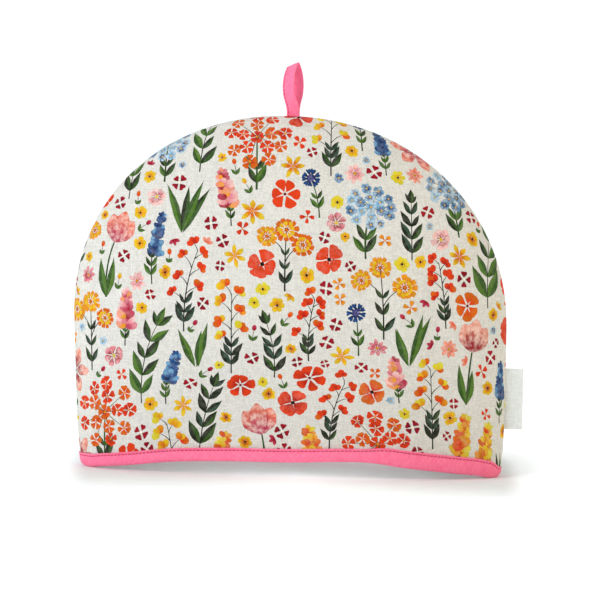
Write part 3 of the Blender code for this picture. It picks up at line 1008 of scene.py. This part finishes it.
def make_panel(name, side, seed, finishes):
    """A panel: its printed face, its plain inner face and the rim between them."""
    strokes = lay_out(seed)
    flat, triangles, owners = printed_face(strokes)
    rim = boundary_loop(triangles)
    back_points = [flat[v] for v in rim] + grid_points(INSIDE_GRID, INSIDE_GRID * 0.7)
    back_flat, back_triangles, _, sources = triangulate(back_points, [list(range(len(rim)))])
    found = {old: new for new, olds in enumerate(sources) for old in olds}

    vertices = [cloth_point(side, *worn(*p), 0.0, grooved=True) for p in flat]
    for across, up in (worn(*p) for p in back_flat):
        z = SHOULDER_HEIGHT * (1 + min(up, 0.0))
        vertices.append(cloth_point(side, across, up, -wall_at(z)))
    first = len(flat)
    printed = turned(triangles, side > 0)
    polygons = printed + [tuple(v + first for v in f) for f in turned(back_triangles, side < 0)]
    for here in range(len(rim)):
        there = (here + 1) % len(rim)
        quad = (rim[there], rim[here], first + found[here], first + found[there])
        polygons += turned([quad], side > 0)

    mesh = bpy.data.meshes.new(name)
    mesh.from_pydata(vertices, [], polygons)
    print_attributes(mesh, flat, printed, owners, strokes)
    places = [(s * MM, t * MM, side * 0.5) for s, t in flat + back_flat]
    write_attribute(mesh, "cloth_place", "FLOAT_VECTOR", "POINT", places)
    made = place_mesh(name, mesh, finishes)
    slots = [0] * len(printed) + [1] * (len(polygons) - len(printed))
    mesh.polygons.foreach_set("material_index", slots)
    return made


# ---------------------------------------------------------------- hem binding
BINDING_STEPS = 230  # along each side of the oval
BINDING_LIP = 0.0009  # how far the tape's upper edge stands off the cloth
LIP_ENDS = (0.88, 0.99)  # it closes on the cloth towards the seams, in shares of the way there
TAPE_EDGE = [(0.0005, 0.0), (0.00015, 0.0001)]  # round its upper edge: (in from the outer face, down)
BELOW_EDGE = 0.0004  # from the upper edge to the top of the outer face
LIP_CLOSES = 0.22  # share of the way down where the lip has closed on the cloth
UNDER_EDGE = 0.0003
OUTER_SHARES = (0.0, 0.06, 0.12, 0.17, 0.22, 0.30, 0.42, 0.55, 0.68, 0.82, 0.93, 1.0)  # top down
INNER_SHARES = (0.2, 0.4, 0.6, 0.74, 0.82, 0.90, 1.0)  # of the way up the inner face
STITCH_HEIGHT = BINDING_FRONT - 0.0020
STITCH_DENT, STITCH_DENT_REACH = 0.00028, 0.0010  # how far the stitching pulls the tape in
STITCH_PITCH, STITCH_LENGTH = 0.0031, 0.0024
STITCH_LINE = 1200  # steps along the line that the stitches follow
THREAD = 0.00070
TAPE_PUFF = 0.00055  # how far the folded tape swells below the stitching
TAPE_RIPPLE, TAPE_RIPPLE_PITCH = 0.00022, 0.0125
TAPE_SOFT = 0.00030  # height of its small unevenness
INNER_SWELL = 0.7  # how much of the swell the inner face has
THREAD_PROUD = 0.22  # how far a stitch stands off the tape, in threads


def hem_steps(count):
    """Even steps from -1 to 1 along one side of the hem, closer together at its ends."""
    sines = [sin(pi * index / count - pi / 2) for index in range(count + 1)]
    return [copysign(abs(sine) ** (2 / OUTLINE_POWER), sine) for sine in sines]


def tape_swell(side, x, height, outer):
    """Extra offset of the tape's outer face at a height above the hem."""
    below = height / STITCH_HEIGHT
    puff = TAPE_PUFF * sin(pi * min(below, 1.0)) ** 1.4 if outer else 0.0
    dent = STITCH_DENT * exp(-(((height - STITCH_HEIGHT) / STITCH_DENT_REACH) ** 2))
    bumpy = 0.5 + 0.5 * sin(2 * pi * x / STITCH_PITCH)
    wander = 3.0 * noise.noise(Vector((x / 0.02, side, 1.0)))
    ripple = sin(2 * pi * (x + 0.5 * height) / TAPE_RIPPLE_PITCH + wander)
    ripple *= TAPE_RIPPLE * sin(pi * min(max(below, 0.0), 1.0))
    soft = TAPE_SOFT * noise.noise(Vector((x / 0.011, height / 0.006, side * 2.0)))
    soft *= smoothstep(0.0, 0.25, below)
    return puff + ripple + soft - dent * (0.6 + 0.4 * bumpy)


def binding_outline():
    """The tape's section, from its outer top edge down, round and up inside, then back between
    tape and cloth: (offset, height, is_outer_face, is_inner_face)."""
    section = [(TAPE_OUT - i + BINDING_LIP, BINDING_FRONT - down, 0, 0) for i, down in TAPE_EDGE]
    start = BINDING_FRONT - BELOW_EDGE
    for share in OUTER_SHARES:
        height = start - (start - BINDING_ROUND) * share
        lip = BINDING_LIP * (1 - smoothstep(0.0, LIP_CLOSES, share))
        section.append((TAPE_OUT + lip, height, 1, 0))
    for face, sign, turns in ((TAPE_OUT, -1, range(1, 6)), (TAPE_IN, 1, range(5, -1, -1))):
        for angle in (radians(18 * turn) for turn in turns):
            offset = face + sign * BINDING_ROUND * (1 - cos(angle))
            section.append((offset, BINDING_ROUND * (1 - sin(angle)), 0, 0))
    for share in INNER_SHARES:
        section.append((TAPE_IN, BINDING_ROUND + (BINDING_INSIDE - BINDING_ROUND) * share, 0, 1))
    inside = TAPE_IN + TAPE
    section += [(inside, height, 0, 0) for height in (BINDING_INSIDE, BINDING_INSIDE / 2, TAPE)]
    section += [(FIT_GAP, height, 0, 0) for height in (TAPE, BINDING_FRONT / 2)]
    return section + [(FIT_GAP + BINDING_LIP * 0.5, BINDING_FRONT - UNDER_EDGE, 0, 0)]


def binding_point(side, across, offset, height, outer, inner):
    """A point of the tape, with its swell."""
    x = across * side_width(height)
    swell = tape_swell(side, x, height, True) if outer else 0.0
    swell -= INNER_SWELL * tape_swell(side + 7, x, height, False) if inner else 0.0
    if offset > 0:
        offset -= max(offset - TAPE_OUT, 0.0) * smoothstep(*LIP_ENDS, abs(across))
        share = (height - BINDING_ROUND) / (STITCH_HEIGHT - BINDING_ROUND)
        height += (binding_top(x) - BINDING_FRONT) * min(max(share, 0.0), 1.0)
    up = height / SHOULDER_HEIGHT - 1
    return cloth_point(side, across, up, offset + swell, edge=0.0, rough=False)


def make_binding(finish):
    bm, layer = new_tape()
    steps, section = hem_steps(BINDING_STEPS), binding_outline()
    places = [(-1, across) for across in steps] + [(1, across) for across in steps[-2:0:-1]]
    girths = runs_along([row[:2] for row in section])
    rings, run = [], 0.0
    for side, across in places:
        ring = [bm.verts.new(binding_point(side, across, *row)) for row in section]
        run += (ring[0].co - rings[-1][0].co).length if rings else 0.0
        for vertex, girth in zip(ring, girths):
            vertex[layer] = (run, girth, 1.7)
        rings.append(ring)
    skin(bm, rings + rings[:1], closed=True)
    return new_piece("hem_binding_tape", bm, finish)


def make_hem_stitches(finish):
    """One line of stitches through the binding, seen on its outer and inner faces."""
    bm = bmesh.new()
    steps = hem_steps(STITCH_LINE)
    for side in (-1, 1):
        for offset, outer in ((TAPE_OUT, 1), (TAPE_IN, 0)):
            line = [binding_point(side, a, offset, STITCH_HEIGHT, outer, 1 - outer) for a in steps]
            runs, axes = runs_along(line), list(zip(*line))
            proud = Vector((0.0, side * THREAD * THREAD_PROUD * (1 if outer else -1), 0.0))
            for index in range(int(runs[-1] / STITCH_PITCH)):
                start = (index + 0.12) * STITCH_PITCH
                ends = []
                for run in (start, start + STITCH_LENGTH):
                    ends.append(Vector([float(np.interp(run, runs, axis)) for axis in axes]) + proud)
                add_stitch(bm, *ends, THREAD)
    return new_piece("hem_stitches", bm, finish)


# ---------------------------------------------------------------- hanging loop
LOOP_STEPS = 12
LOOP_STITCH_IN = 0.0014  # from the tape's edge to its stitching
LOOP_DENT, LOOP_DENT_REACH = 0.00016, 0.0007
LOOP_RIPPLE = 0.00009
LOOP_EDGE = 0.25  # thickness of its edge, as a share of its middle


def loop_route():
    """Points of a Catmull-Rom curve up the front leg of the loop and down the back leg."""
    front = [(-out, up) for out, up in LOOP_LEG]
    points = front + [(0.0, LOOP_TOP)] + [(out, up) for out, up in reversed(LOOP_LEG)]
    ends, route = [points[0]] + points + [points[-1]], []
    for four in zip(ends, ends[1:], ends[2:], ends[3:]):
        for t in (step / LOOP_STEPS for step in range(LOOP_STEPS)):
            inner = (2 - 5 * t**2 + 3 * t**3, t + 4 * t**2 - 3 * t**3)
            weights = (-t + 2 * t**2 - t**3, *inner, t**3 - t**2)
            route.append(weighted([w / 2 for w in weights], four))
    return route + [points[-1]]


def loop_point(route, index, along, through):
    """A point of the loop's tape: along its width and through its thickness, from its middle."""
    y, up = route[index]
    before, after = neighbours(route, index)
    run, rise = after[0] - before[0], after[1] - before[1]
    length = hypot(run, rise)
    turn = LOOP_TURN * smoothstep(*LOOP_TURNS, up)
    deep = y - through * rise / length
    high = up + through * run / length + LOOP_SLANT * along * max(up, 0.0) / LOOP_TOP
    x = LOOP_X + along * cos(turn) + deep * sin(turn)
    return lean(x, deep * cos(turn) - along * sin(turn), BODY_HEIGHT + high)


def loop_half_thickness(along, run):
    """The folded tape is fullest beside its fold and drawn in along its stitching."""
    wide = LOOP_WIDTH / 2
    round_edge = sqrt(max(1 - (abs(along) / wide) ** 6, 0.0))
    dent = LOOP_DENT * exp(-(((along + wide - LOOP_STITCH_IN) / LOOP_DENT_REACH) ** 2))
    ripple = LOOP_RIPPLE * sin(run / 0.0011 + 2 * sin(run / 0.004))
    full = LOOP_THICKNESS / 2 * (LOOP_EDGE + (1 - LOOP_EDGE) * round_edge)
    return full - dent + ripple * (1 - abs(along) / wide)


def make_loop(finish):
    bm, layer = new_tape()
    route, rings = loop_route(), []
    alongs = [LOOP_WIDTH / 2 * sin(pi / 2 * k / 9) for k in range(-9, 10)]
    places = [(1, along) for along in alongs] + [(-1, along) for along in reversed(alongs)]
    for index, run in enumerate(runs_along(route)):
        ring = []
        for face, along in places:
            through = face * loop_half_thickness(along, run)
            vertex = bm.verts.new(loop_point(route, index, along, through))
            vertex[layer] = (along, run, face * 0.9)
            ring.append(vertex)
        rings.append(ring)
    tube(bm, rings)
    return new_piece("hanging_loop_tape", bm, finish)


def make_loop_stitches(finish):
    """Stitches up the tape's open edge, on both of its faces."""
    bm = bmesh.new()
    route = loop_route()
    runs = runs_along(route)
    along = -LOOP_WIDTH / 2 + LOOP_STITCH_IN
    for face in (1, -1):
        for number in range(1, int(runs[-1] / STITCH_PITCH)):
            ends = []
            for run in (number * STITCH_PITCH, number * STITCH_PITCH + STITCH_LENGTH):
                index = int(np.searchsorted(runs, run))
                through = face * (loop_half_thickness(along, runs[index]) + THREAD * 0.18)
                ends.append(loop_point(route, index, along, through))
            add_stitch(bm, *ends, THREAD * 0.9)
    return new_piece("loop_stitches", bm, finish)


# ---------------------------------------------------------------- side label
LABEL_LAYER = 0.00030  # thickness of one layer of the folded ribbon
LABEL_ROWS = 48
LABEL_FLUTTER = 0.00022


def label_path():
    """The ribbon from one sewn end round its fold to the other: (out, through, nx, ny)."""
    half = LABEL_THICKNESS / 2 - LABEL_LAYER / 2
    straight = [-LABEL_ROOT + (LABEL_OUT - half + LABEL_ROOT) * k / 16 for k in range(17)]
    path = [(out, -half, 0.0, -1.0) for out in straight[:-1]]
    for angle in (pi * k / 8 - pi / 2 for k in range(9)):
        nx, ny = cos(angle), sin(angle)
        path.append((straight[-1] + half * nx, half * ny, nx, ny))
    return path + [(out, half, 0.0, 1.0) for out in straight[-2::-1]]


def label_row(bm, layer, path, share, face):
    """One line of vertices round the ribbon, on its outer face (1) or its inner face (-1)."""
    z = LABEL_LOW + (LABEL_HIGH - LABEL_LOW) * share
    line = []
    for run, (out, through, nx, ny) in zip(runs_along([row[:2] for row in path]), path):
        out += face * nx * LABEL_LAYER / 2
        through += face * ny * LABEL_LAYER / 2
        free = min(max(out, 0.0) / LABEL_OUT, 1.0)
        bow = LABEL_BOW * free**2 * (0.6 + 0.4 * cos(pi * share))
        flutter = LABEL_FLUTTER * free * sin(9 * share + 3 * free)
        vertex = bm.verts.new(lean(side_width(z) + out, through - bow + flutter, z))
        vertex[layer] = (run, z, 0.3 * face)
        line.append(vertex)
    return line


def make_label(finish):
    """A ribbon folded in two, with its fold as the free edge and both ends in the seam."""
    bm, layer = new_tape()
    path, grids = label_path(), []
    for face in (1, -1):
        rows = range(LABEL_ROWS + 1)
        grids.append([label_row(bm, layer, path, row / LABEL_ROWS, face) for row in rows])
        skin(bm, grids[-1])
    columns = [list(zip(*grid)) for grid in grids]
    for outer, inner in (grids, columns):
        skin(bm, [outer[0], inner[0]])
        skin(bm, [outer[-1], inner[-1]])
    return new_piece("side_label_ribbon", bm, finish)


# ---------------------------------------------------------------- finishes
class Graph:
    """A material's node tree, with a short way to add each kind of node."""

    def __init__(self, name):
        self.material = bpy.data.materials.new(name)
        self.material.use_nodes = True
        self.tree = self.material.node_tree
        self.shader = self.tree.nodes["Principled BSDF"]

    def feed(self, socket, value):
        if isinstance(value, bpy.types.NodeSocket):
            self.tree.links.new(value, socket)
        elif isinstance(value, tuple) and len(value) == 3 and socket.type == "RGBA":
            socket.default_value = (*value, 1.0)
        else:
            socket.default_value = value

    def add(self, kind, *fed, **settings):
        """A new node of a kind, with its settings and the values of its first sockets."""
        node = self.tree.nodes.new("ShaderNode" + kind)
        for name, value in settings.items():
            setattr(node, name, value)
        for socket, value in zip(node.inputs, fed):
            self.feed(socket, value)
        return node

    def set(self, **values):
        """Sets the shader's own sockets, by name with _ for a space."""
        for name, value in values.items():
            self.feed(self.shader.inputs[name.replace("_", " ")], value)

    def math(self, operation, *values):
        return self.add("Math", *values, operation=operation).outputs[0]

    def plus(self, *values):
        return self.math("ADD", *values)

    def minus(self, *values):
        return self.math("SUBTRACT", *values)

    def times(self, *values):
        return self.math("MULTIPLY", *values)

    def range(self, value, low, high, to_low=0.0, to_high=1.0, kind="SMOOTHSTEP"):
        fed = (value, low, high, to_low, to_high)
        return self.add("MapRange", *fed, interpolation_type=kind).outputs[0]

    def mix(self, share, first, second, blend="MIX"):
        node = self.add("Mix", data_type="RGBA", blend_type=blend)
        for name, value in (("Factor_Float", share), ("A_Color", first), ("B_Color", second)):
            self.feed(next(s for s in node.inputs if s.identifier == name), value)
        return next(s for s in node.outputs if s.identifier == "Result_Color")

    def between(self, value, low, high, colours):
        """From the first colour, where value is low, to the second, where it is high."""
        return self.mix(self.range(value, low, high), *colours)

    def darkened(self, colour, shade):
        return self.mix(1.0, colour, self.join(shade, shade, shade), "MULTIPLY")

    def attribute(self, name):
        return self.add("Attribute", attribute_name=name)

    def split(self, vector):
        return self.add("SeparateXYZ", vector).outputs

    def join(self, *values):
        return self.add("CombineXYZ", *values).outputs[0]

    def cloth(self):
        """The place on the flat cloth, as a vector and as its three parts."""
        vector = self.attribute("cloth_place").outputs["Vector"]
        return vector, self.split(vector)

    def stretched(self, place, x, y):
        return self.join(self.times(place[0], x), self.times(place[1], y), place[2])

    def noise(self, vector, scale, detail=2.0, rough=0.5):
        node = self.add("TexNoise")
        fed = (("Vector", vector), ("Scale", scale), ("Detail", detail), ("Roughness", rough))
        for name, value in fed:
            self.feed(node.inputs[name], value)
        return node.outputs["Fac"]

    def bump(self, height, distance, strength, normal=None):
        node = self.add("Bump", strength, distance)
        self.feed(node.inputs["Height"], height)
        if normal is not None:
            self.feed(node.inputs["Normal"], normal)
        return node.outputs[0]


def weave(graph, place, pitch):
    """Height of a plain weave, 0 to 1, with one thread every pitch metres each way."""
    profiles, cells = [], []
    for axis in (place[0], place[1]):
        scaled = graph.math("DIVIDE", axis, pitch)
        cells.append(graph.math("FLOOR", scaled))
        off = graph.minus(graph.math("FRACT", scaled), 0.5)
        profiles.append(graph.minus(1.0, graph.times(graph.times(off, off), 4.0)))
    parity = graph.math("FLOORED_MODULO", graph.plus(*cells), 2.0)
    over = graph.times(profiles[0], parity)
    return graph.plus(over, graph.times(profiles[1], graph.minus(1.0, parity)))


def slubs(graph, place, width, length):
    """Thick and thin threads, both ways: a value around 0.5."""
    upright = graph.noise(graph.stretched(place, 1 / width, 1 / length), 1.0, 2.0, 0.6)
    level = graph.noise(graph.stretched(place, 1 / length, 1 / width), 1.0, 2.0, 0.6)
    return graph.times(graph.plus(upright, level), 0.5)


COTTON_THREAD = 0.00052
TAPE_THREAD = 0.00034
RIBBON_RIB = 0.00045
COTTON = ((0.588, 0.582, 0.548), (0.722, 0.716, 0.677))  # its darker and its lighter threads
RIBBON = ((0.66, 0.695, 0.685), (0.79, 0.825, 0.815))
PINK = (srgb(250, 108, 150), srgb(255, 130, 166))
CRIMSON = ((0.46, 0.018, 0.085), srgb(208, 34, 92))
PAPER = ((0.665, 0.690, 0.700), (0.685, 0.710, 0.720))
WATER = (0.95, 0.90, 0.84)  # thinned paint
PAPER_GLOW = (0.95, 1.0, 1.02)


def cotton(name, printed):
    """Natural cotton of a visible weave, with or without the painted print."""
    graph = Graph(name)
    vector, place = graph.cloth()
    slub = slubs(graph, place, 0.0008, 0.0045)
    threads = weave(graph, place, COTTON_THREAD)
    cloth = graph.between(slub, 0.36, 0.64, COTTON)
    colour = painted(graph, vector, cloth) if printed else cloth
    # a random uneven tone, and painted shade: the colour darkens where the weave's threads dip
    uneven = graph.range(graph.noise(vector, 1000.0, 2.0, 0.6), 0.32, 0.68, 0.88, 1.10, "LINEAR")
    shade = graph.times(graph.range(threads, 0.0, 1.0, 0.90, 1.0, "LINEAR"), uneven)
    graph.set(Base_Color=graph.darkened(colour, shade))
    normal = graph.bump(slub, 0.00022, 0.5)
    normal = graph.bump(threads, 0.00012, 0.7, normal)
    graph.set(Normal=graph.bump(graph.noise(vector, 2600.0, 1.0), 0.00005, 0.5, normal))
    graph.set(Roughness=0.92, Specular_IOR_Level=0.10, Sheen_Weight=0.03, Sheen_Roughness=0.6)
    return graph.material


def painted(graph, vector, cloth):
    """The print over the plain cloth: washes of colour that pool at the edges of each stroke."""
    inner, outer = (graph.attribute(name).outputs for name in ("print_inner", "print_outer"))
    colours = (inner["Color"], outer["Color"])
    u, v, edge = graph.split(graph.attribute("print_place").outputs["Vector"])
    pool = graph.noise(vector, 210.0, 3.0, 0.55)
    fine = graph.noise(vector, 900.0, 2.0, 0.6)
    drift = graph.times(graph.minus(pool, 0.5), 0.9)
    wash = graph.range(inner["Alpha"], 1.0 - WASH_SPAN, 1.0, 1.0, 0.0, "LINEAR")
    petal = graph.between(graph.plus(u, drift), 0.12, 0.82, colours)
    leaf_halves = graph.between(v, -0.06, 0.06, colours)
    paint = graph.mix(graph.math("LESS_THAN", outer["Alpha"], 0.75), petal, leaf_halves)
    veins = graph.noise(graph.join(graph.times(u, 1.6), graph.times(v, 4.5)), 1.6)
    water = graph.times(graph.range(pool, 0.36, 0.70), 0.60)
    water = graph.plus(water, graph.times(graph.range(veins, 0.45, 0.75), 0.25))
    thin = graph.plus(graph.times(wash, 0.80), 0.01)
    paint = graph.mix(graph.times(water, thin), paint, WATER)
    rim = graph.times(graph.range(edge, 0.05, 0.75, 0.5, 0.0), graph.plus(wash, 0.36))
    dark = graph.mix(1.0, paint, paint, "MULTIPLY")
    paint = graph.mix(graph.plus(rim, graph.range(fine, 0.55, 0.8, 0.0, 0.18)), paint, dark)
    paint = graph.mix(0.32, paint, graph.mix(1.0, paint, cloth, "MULTIPLY"))
    return graph.mix(graph.math("GREATER_THAN", inner["Alpha"], 0.5), cloth, paint)


def tape_cotton(name):
    """Dyed plain-weave tape, laid on the bias."""
    graph = Graph(name)
    _, place = graph.cloth()
    diagonals = (graph.plus(place[0], place[1]), graph.minus(place[0], place[1]))
    bias = (*(graph.times(diagonal, 0.7071) for diagonal in diagonals), place[2])
    threads = weave(graph, bias, TAPE_THREAD)
    slub = slubs(graph, bias, 0.0008, 0.008)
    # painted shade: the tape's colour darkens where its threads dip
    shade = graph.range(threads, 0.0, 1.0, 0.88, 1.0, "LINEAR")
    graph.set(Base_Color=graph.darkened(graph.between(slub, 0.35, 0.65, PINK), shade))
    graph.set(Normal=graph.bump(threads, 0.00010, 0.6, graph.bump(slub, 0.00020, 0.5)))
    graph.set(Roughness=0.82, Specular_IOR_Level=0.3, Sheen_Weight=0.15, Sheen_Roughness=0.5)
    return graph.material


def thread_finish(name):
    """Twisted sewing thread."""
    graph = Graph(name)
    twist = graph.noise(graph.add("TexCoord").outputs["Object"], 2400.0, 1.0)
    graph.set(Base_Color=graph.between(twist, 0.3, 0.7, CRIMSON))
    graph.set(Normal=graph.bump(twist, 0.00008, 0.7), Roughness=0.8, Sheen_Weight=0.03)
    return graph.material


def ribbon_finish(name):
    """Close satin ribbon, ribbed across."""
    graph = Graph(name)
    _, place = graph.cloth()
    ribs = graph.math("SINE", graph.times(place[1], 2 * pi / RIBBON_RIB))
    slub = slubs(graph, place, 0.0006, 0.006)
    graph.set(Base_Color=graph.between(slub, 0.35, 0.65, RIBBON))
    graph.set(Normal=graph.bump(ribs, 0.00005, 0.6, graph.bump(slub, 0.00015, 0.5)))
    graph.set(Roughness=0.48, Specular_IOR_Level=0.45, Sheen_Weight=0.1, Anisotropic=0.4)
    return graph.material


# Painted shadow on the floor: its glow is dimmed near the cosy, most where the hem rests
HEM_END = 0.155  # how far from the middle the hem meets the table
OUTER_STEEPNESS = 8.0  # the painted shadow ends this much sooner beyond the hem's ends than in front
INSIDE_SHADE = (-0.05, 0.05, -1.0, 0.0)  # between the ends: (from, to) these depths, (low, high)
SHADE_BEHIND = (0.05, 0.34, 0.0, 0.40)
NEAR_GLOW_PAINTED_SHADOW = (0.05, 0.20, 0.05, 0.37)  # glow of the light table, dimmed near the cosy into a painted shadow: (from, to) these distances, (low, high)
FAR_GLOW_PAINTED_SHADOW = (0.15, 0.40, 0.0, 0.17)


def studio_finish(name):
    """Pale paper on a light table. Its glow is dimmed round the cosy into a painted shadow, darkest at the
    two ends on which the hem rests.
    """
    graph = Graph(name)
    coordinates = graph.add("TexCoord").outputs["Object"]
    graph.set(Base_Color=graph.between(graph.noise(coordinates, 60.0), 0.3, 0.7, PAPER))
    graph.set(Roughness=0.9, Specular_IOR_Level=0.1)
    x, y, _ = graph.split(coordinates)
    past = graph.minus(graph.math("ABSOLUTE", x), HEM_END)
    inside = graph.times(past, graph.range(y, *INSIDE_SHADE))
    beside = graph.math("MAXIMUM", graph.times(past, OUTER_STEEPNESS), inside)
    before = graph.math("MAXIMUM", graph.times(y, -1.0), graph.range(y, *SHADE_BEHIND))
    away = graph.math("SQRT", graph.plus(graph.times(beside, beside), graph.times(before, before)))
    # painted shadow: the glow is low near the cosy and grows with distance from it
    glow_with_painted_shadow = graph.plus(graph.range(away, *NEAR_GLOW_PAINTED_SHADOW), graph.range(away, *FAR_GLOW_PAINTED_SHADOW))
    graph.set(Emission_Color=PAPER_GLOW, Emission_Strength=glow_with_painted_shadow)
    return graph.material


# ---------------------------------------------------------------- camera, light and floor
DISTANCE = 4.0
DEPRESSION = radians(4.0)
ROLL = radians(1.6)  # the cosy stands a little askew in the view, its right side lower
FRAME_WIDTH = 0.4653  # width of the view at the cosy
LOOK_AT = Vector((-0.0001, 0.0, 0.1334))
SENSOR = 36.0


def aimed(place, back):
    """The matrix of something at place whose own +Z axis points along back."""
    return Matrix.Translation(place) @ back.to_track_quat("Z", "Y").to_matrix().to_4x4()


def make_camera():
    data = bpy.data.cameras.new("camera")
    data.sensor_width = SENSOR
    data.lens = SENSOR * DISTANCE / FRAME_WIDTH
    data.clip_end = 100.0
    camera = add_object("camera", data)
    back = Vector((0.0, -cos(DEPRESSION), sin(DEPRESSION)))
    camera.matrix_world = aimed(LOOK_AT + back * DISTANCE, back) @ Matrix.Rotation(ROLL, 4, "Z")
    bpy.context.scene.camera = camera


# (name, place, aimed_at, width, depth, watts, colour)
LIGHTS = [
    ("key_softbox", (-1.9, -1.8, 1.6), (0.0, 0.0, 0.12), 2.2, 2.2, 60.0, (1.0, 1.0, 1.0)),
    ("top_softbox", (0.3, -0.2, 2.6), (0.0, 0.0, 0.12), 1.6, 1.6, 5.0, (1.0, 1.0, 1.0)),
    ("warm_bounce", (1.7, -0.6, 0.6), (0.0, 0.0, 0.12), 1.0, 1.0, 8.5, (1.0, 0.72, 0.32)),
    ("inside_lamp", (-0.004, -0.028, 0.12), (-0.004, -0.034, 0.0), 0.20, 0.012, 0.10, (1.0, 1.0, 1.0)),
]
WORLD_LEVEL = 0.565
WORLD_COLOUR = (1.0, 0.99, 0.97)
FLOOR_FRONT = -8.0
FLOOR_SIDE = 9.0
WALL_FROM = 4.8  # how far behind the cosy the floor curves up
WALL_ROUND = 2.0
WALL_TOP = 9.0


def make_lights():
    for name, place, aimed_at, width, depth, watts, colour in LIGHTS:
        data = bpy.data.lights.new(name, "AREA")
        data.shape, data.size, data.size_y = "RECTANGLE", width, depth
        data.energy, data.color = watts, colour
        lamp = add_object(name, data)
        lamp.visible_camera = False
        lamp.matrix_world = aimed(Vector(place), Vector(place) - Vector(aimed_at))
    world = bpy.data.worlds.new("studio")
    world.use_nodes = True
    sky = world.node_tree.nodes["Background"]
    sky.inputs["Color"].default_value = (*WORLD_COLOUR, 1.0)
    sky.inputs["Strength"].default_value = WORLD_LEVEL
    bpy.context.scene.world = world
    bpy.context.scene.view_settings.view_transform = "Standard"


def make_floor(finish):
    """A pale sweep: a floor that curves up into a wall far behind."""
    bm = bmesh.new()
    profile = [(FLOOR_FRONT, 0.0), (WALL_FROM, 0.0)]
    for angle in (0.2, 0.5, 0.8, 1.1, 1.4, pi / 2):
        profile.append((WALL_FROM + WALL_ROUND * sin(angle), WALL_ROUND - WALL_ROUND * cos(angle)))
    profile.append((WALL_FROM + WALL_ROUND, WALL_TOP))
    skin(bm, [[bm.verts.new((x, y, z)) for x in (-FLOOR_SIDE, FLOOR_SIDE)] for y, z in profile])
    floor = new_piece("studio_sweep", bm, finish, sharp=80)


# ---------------------------------------------------------------- the whole
def main():
    make_camera()
    make_lights()
    make_floor(studio_finish("studio_paper_painted_shadow"))
    panel_finishes = (cotton("print_cotton", printed=True), cotton("inside_cotton", printed=False))
    pink = tape_cotton("pink_tape")
    thread = thread_finish("crimson_thread")
    hem, rest = outline_points()

    for name, node, side, seed in (
        ("front_print", "front_panel", -1, 11),
        ("back_print", "back_panel", 1, 29),
    ):
        panel = make_panel(name, side, seed, panel_finishes)
        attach(panel, "root")
        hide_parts(node)

    binding = make_binding(pink)
    hem_thread = make_hem_stitches(thread)
    loop = make_loop(pink)
    loop_thread = make_loop_stitches(thread)
    label = make_label(ribbon_finish("label_ribbon"))
    for piece, node, material in (
        (binding, "hem_binding", "pink_tape"),
        (hem_thread, None, "pink_tape"),
        (loop, "hanging_loop", "pink_tape"),
        (loop_thread, None, "pink_tape"),
        (label, "side_label", "label_ribbon"),
    ):
        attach(piece, "root")
        if node:
            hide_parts(node)


main()
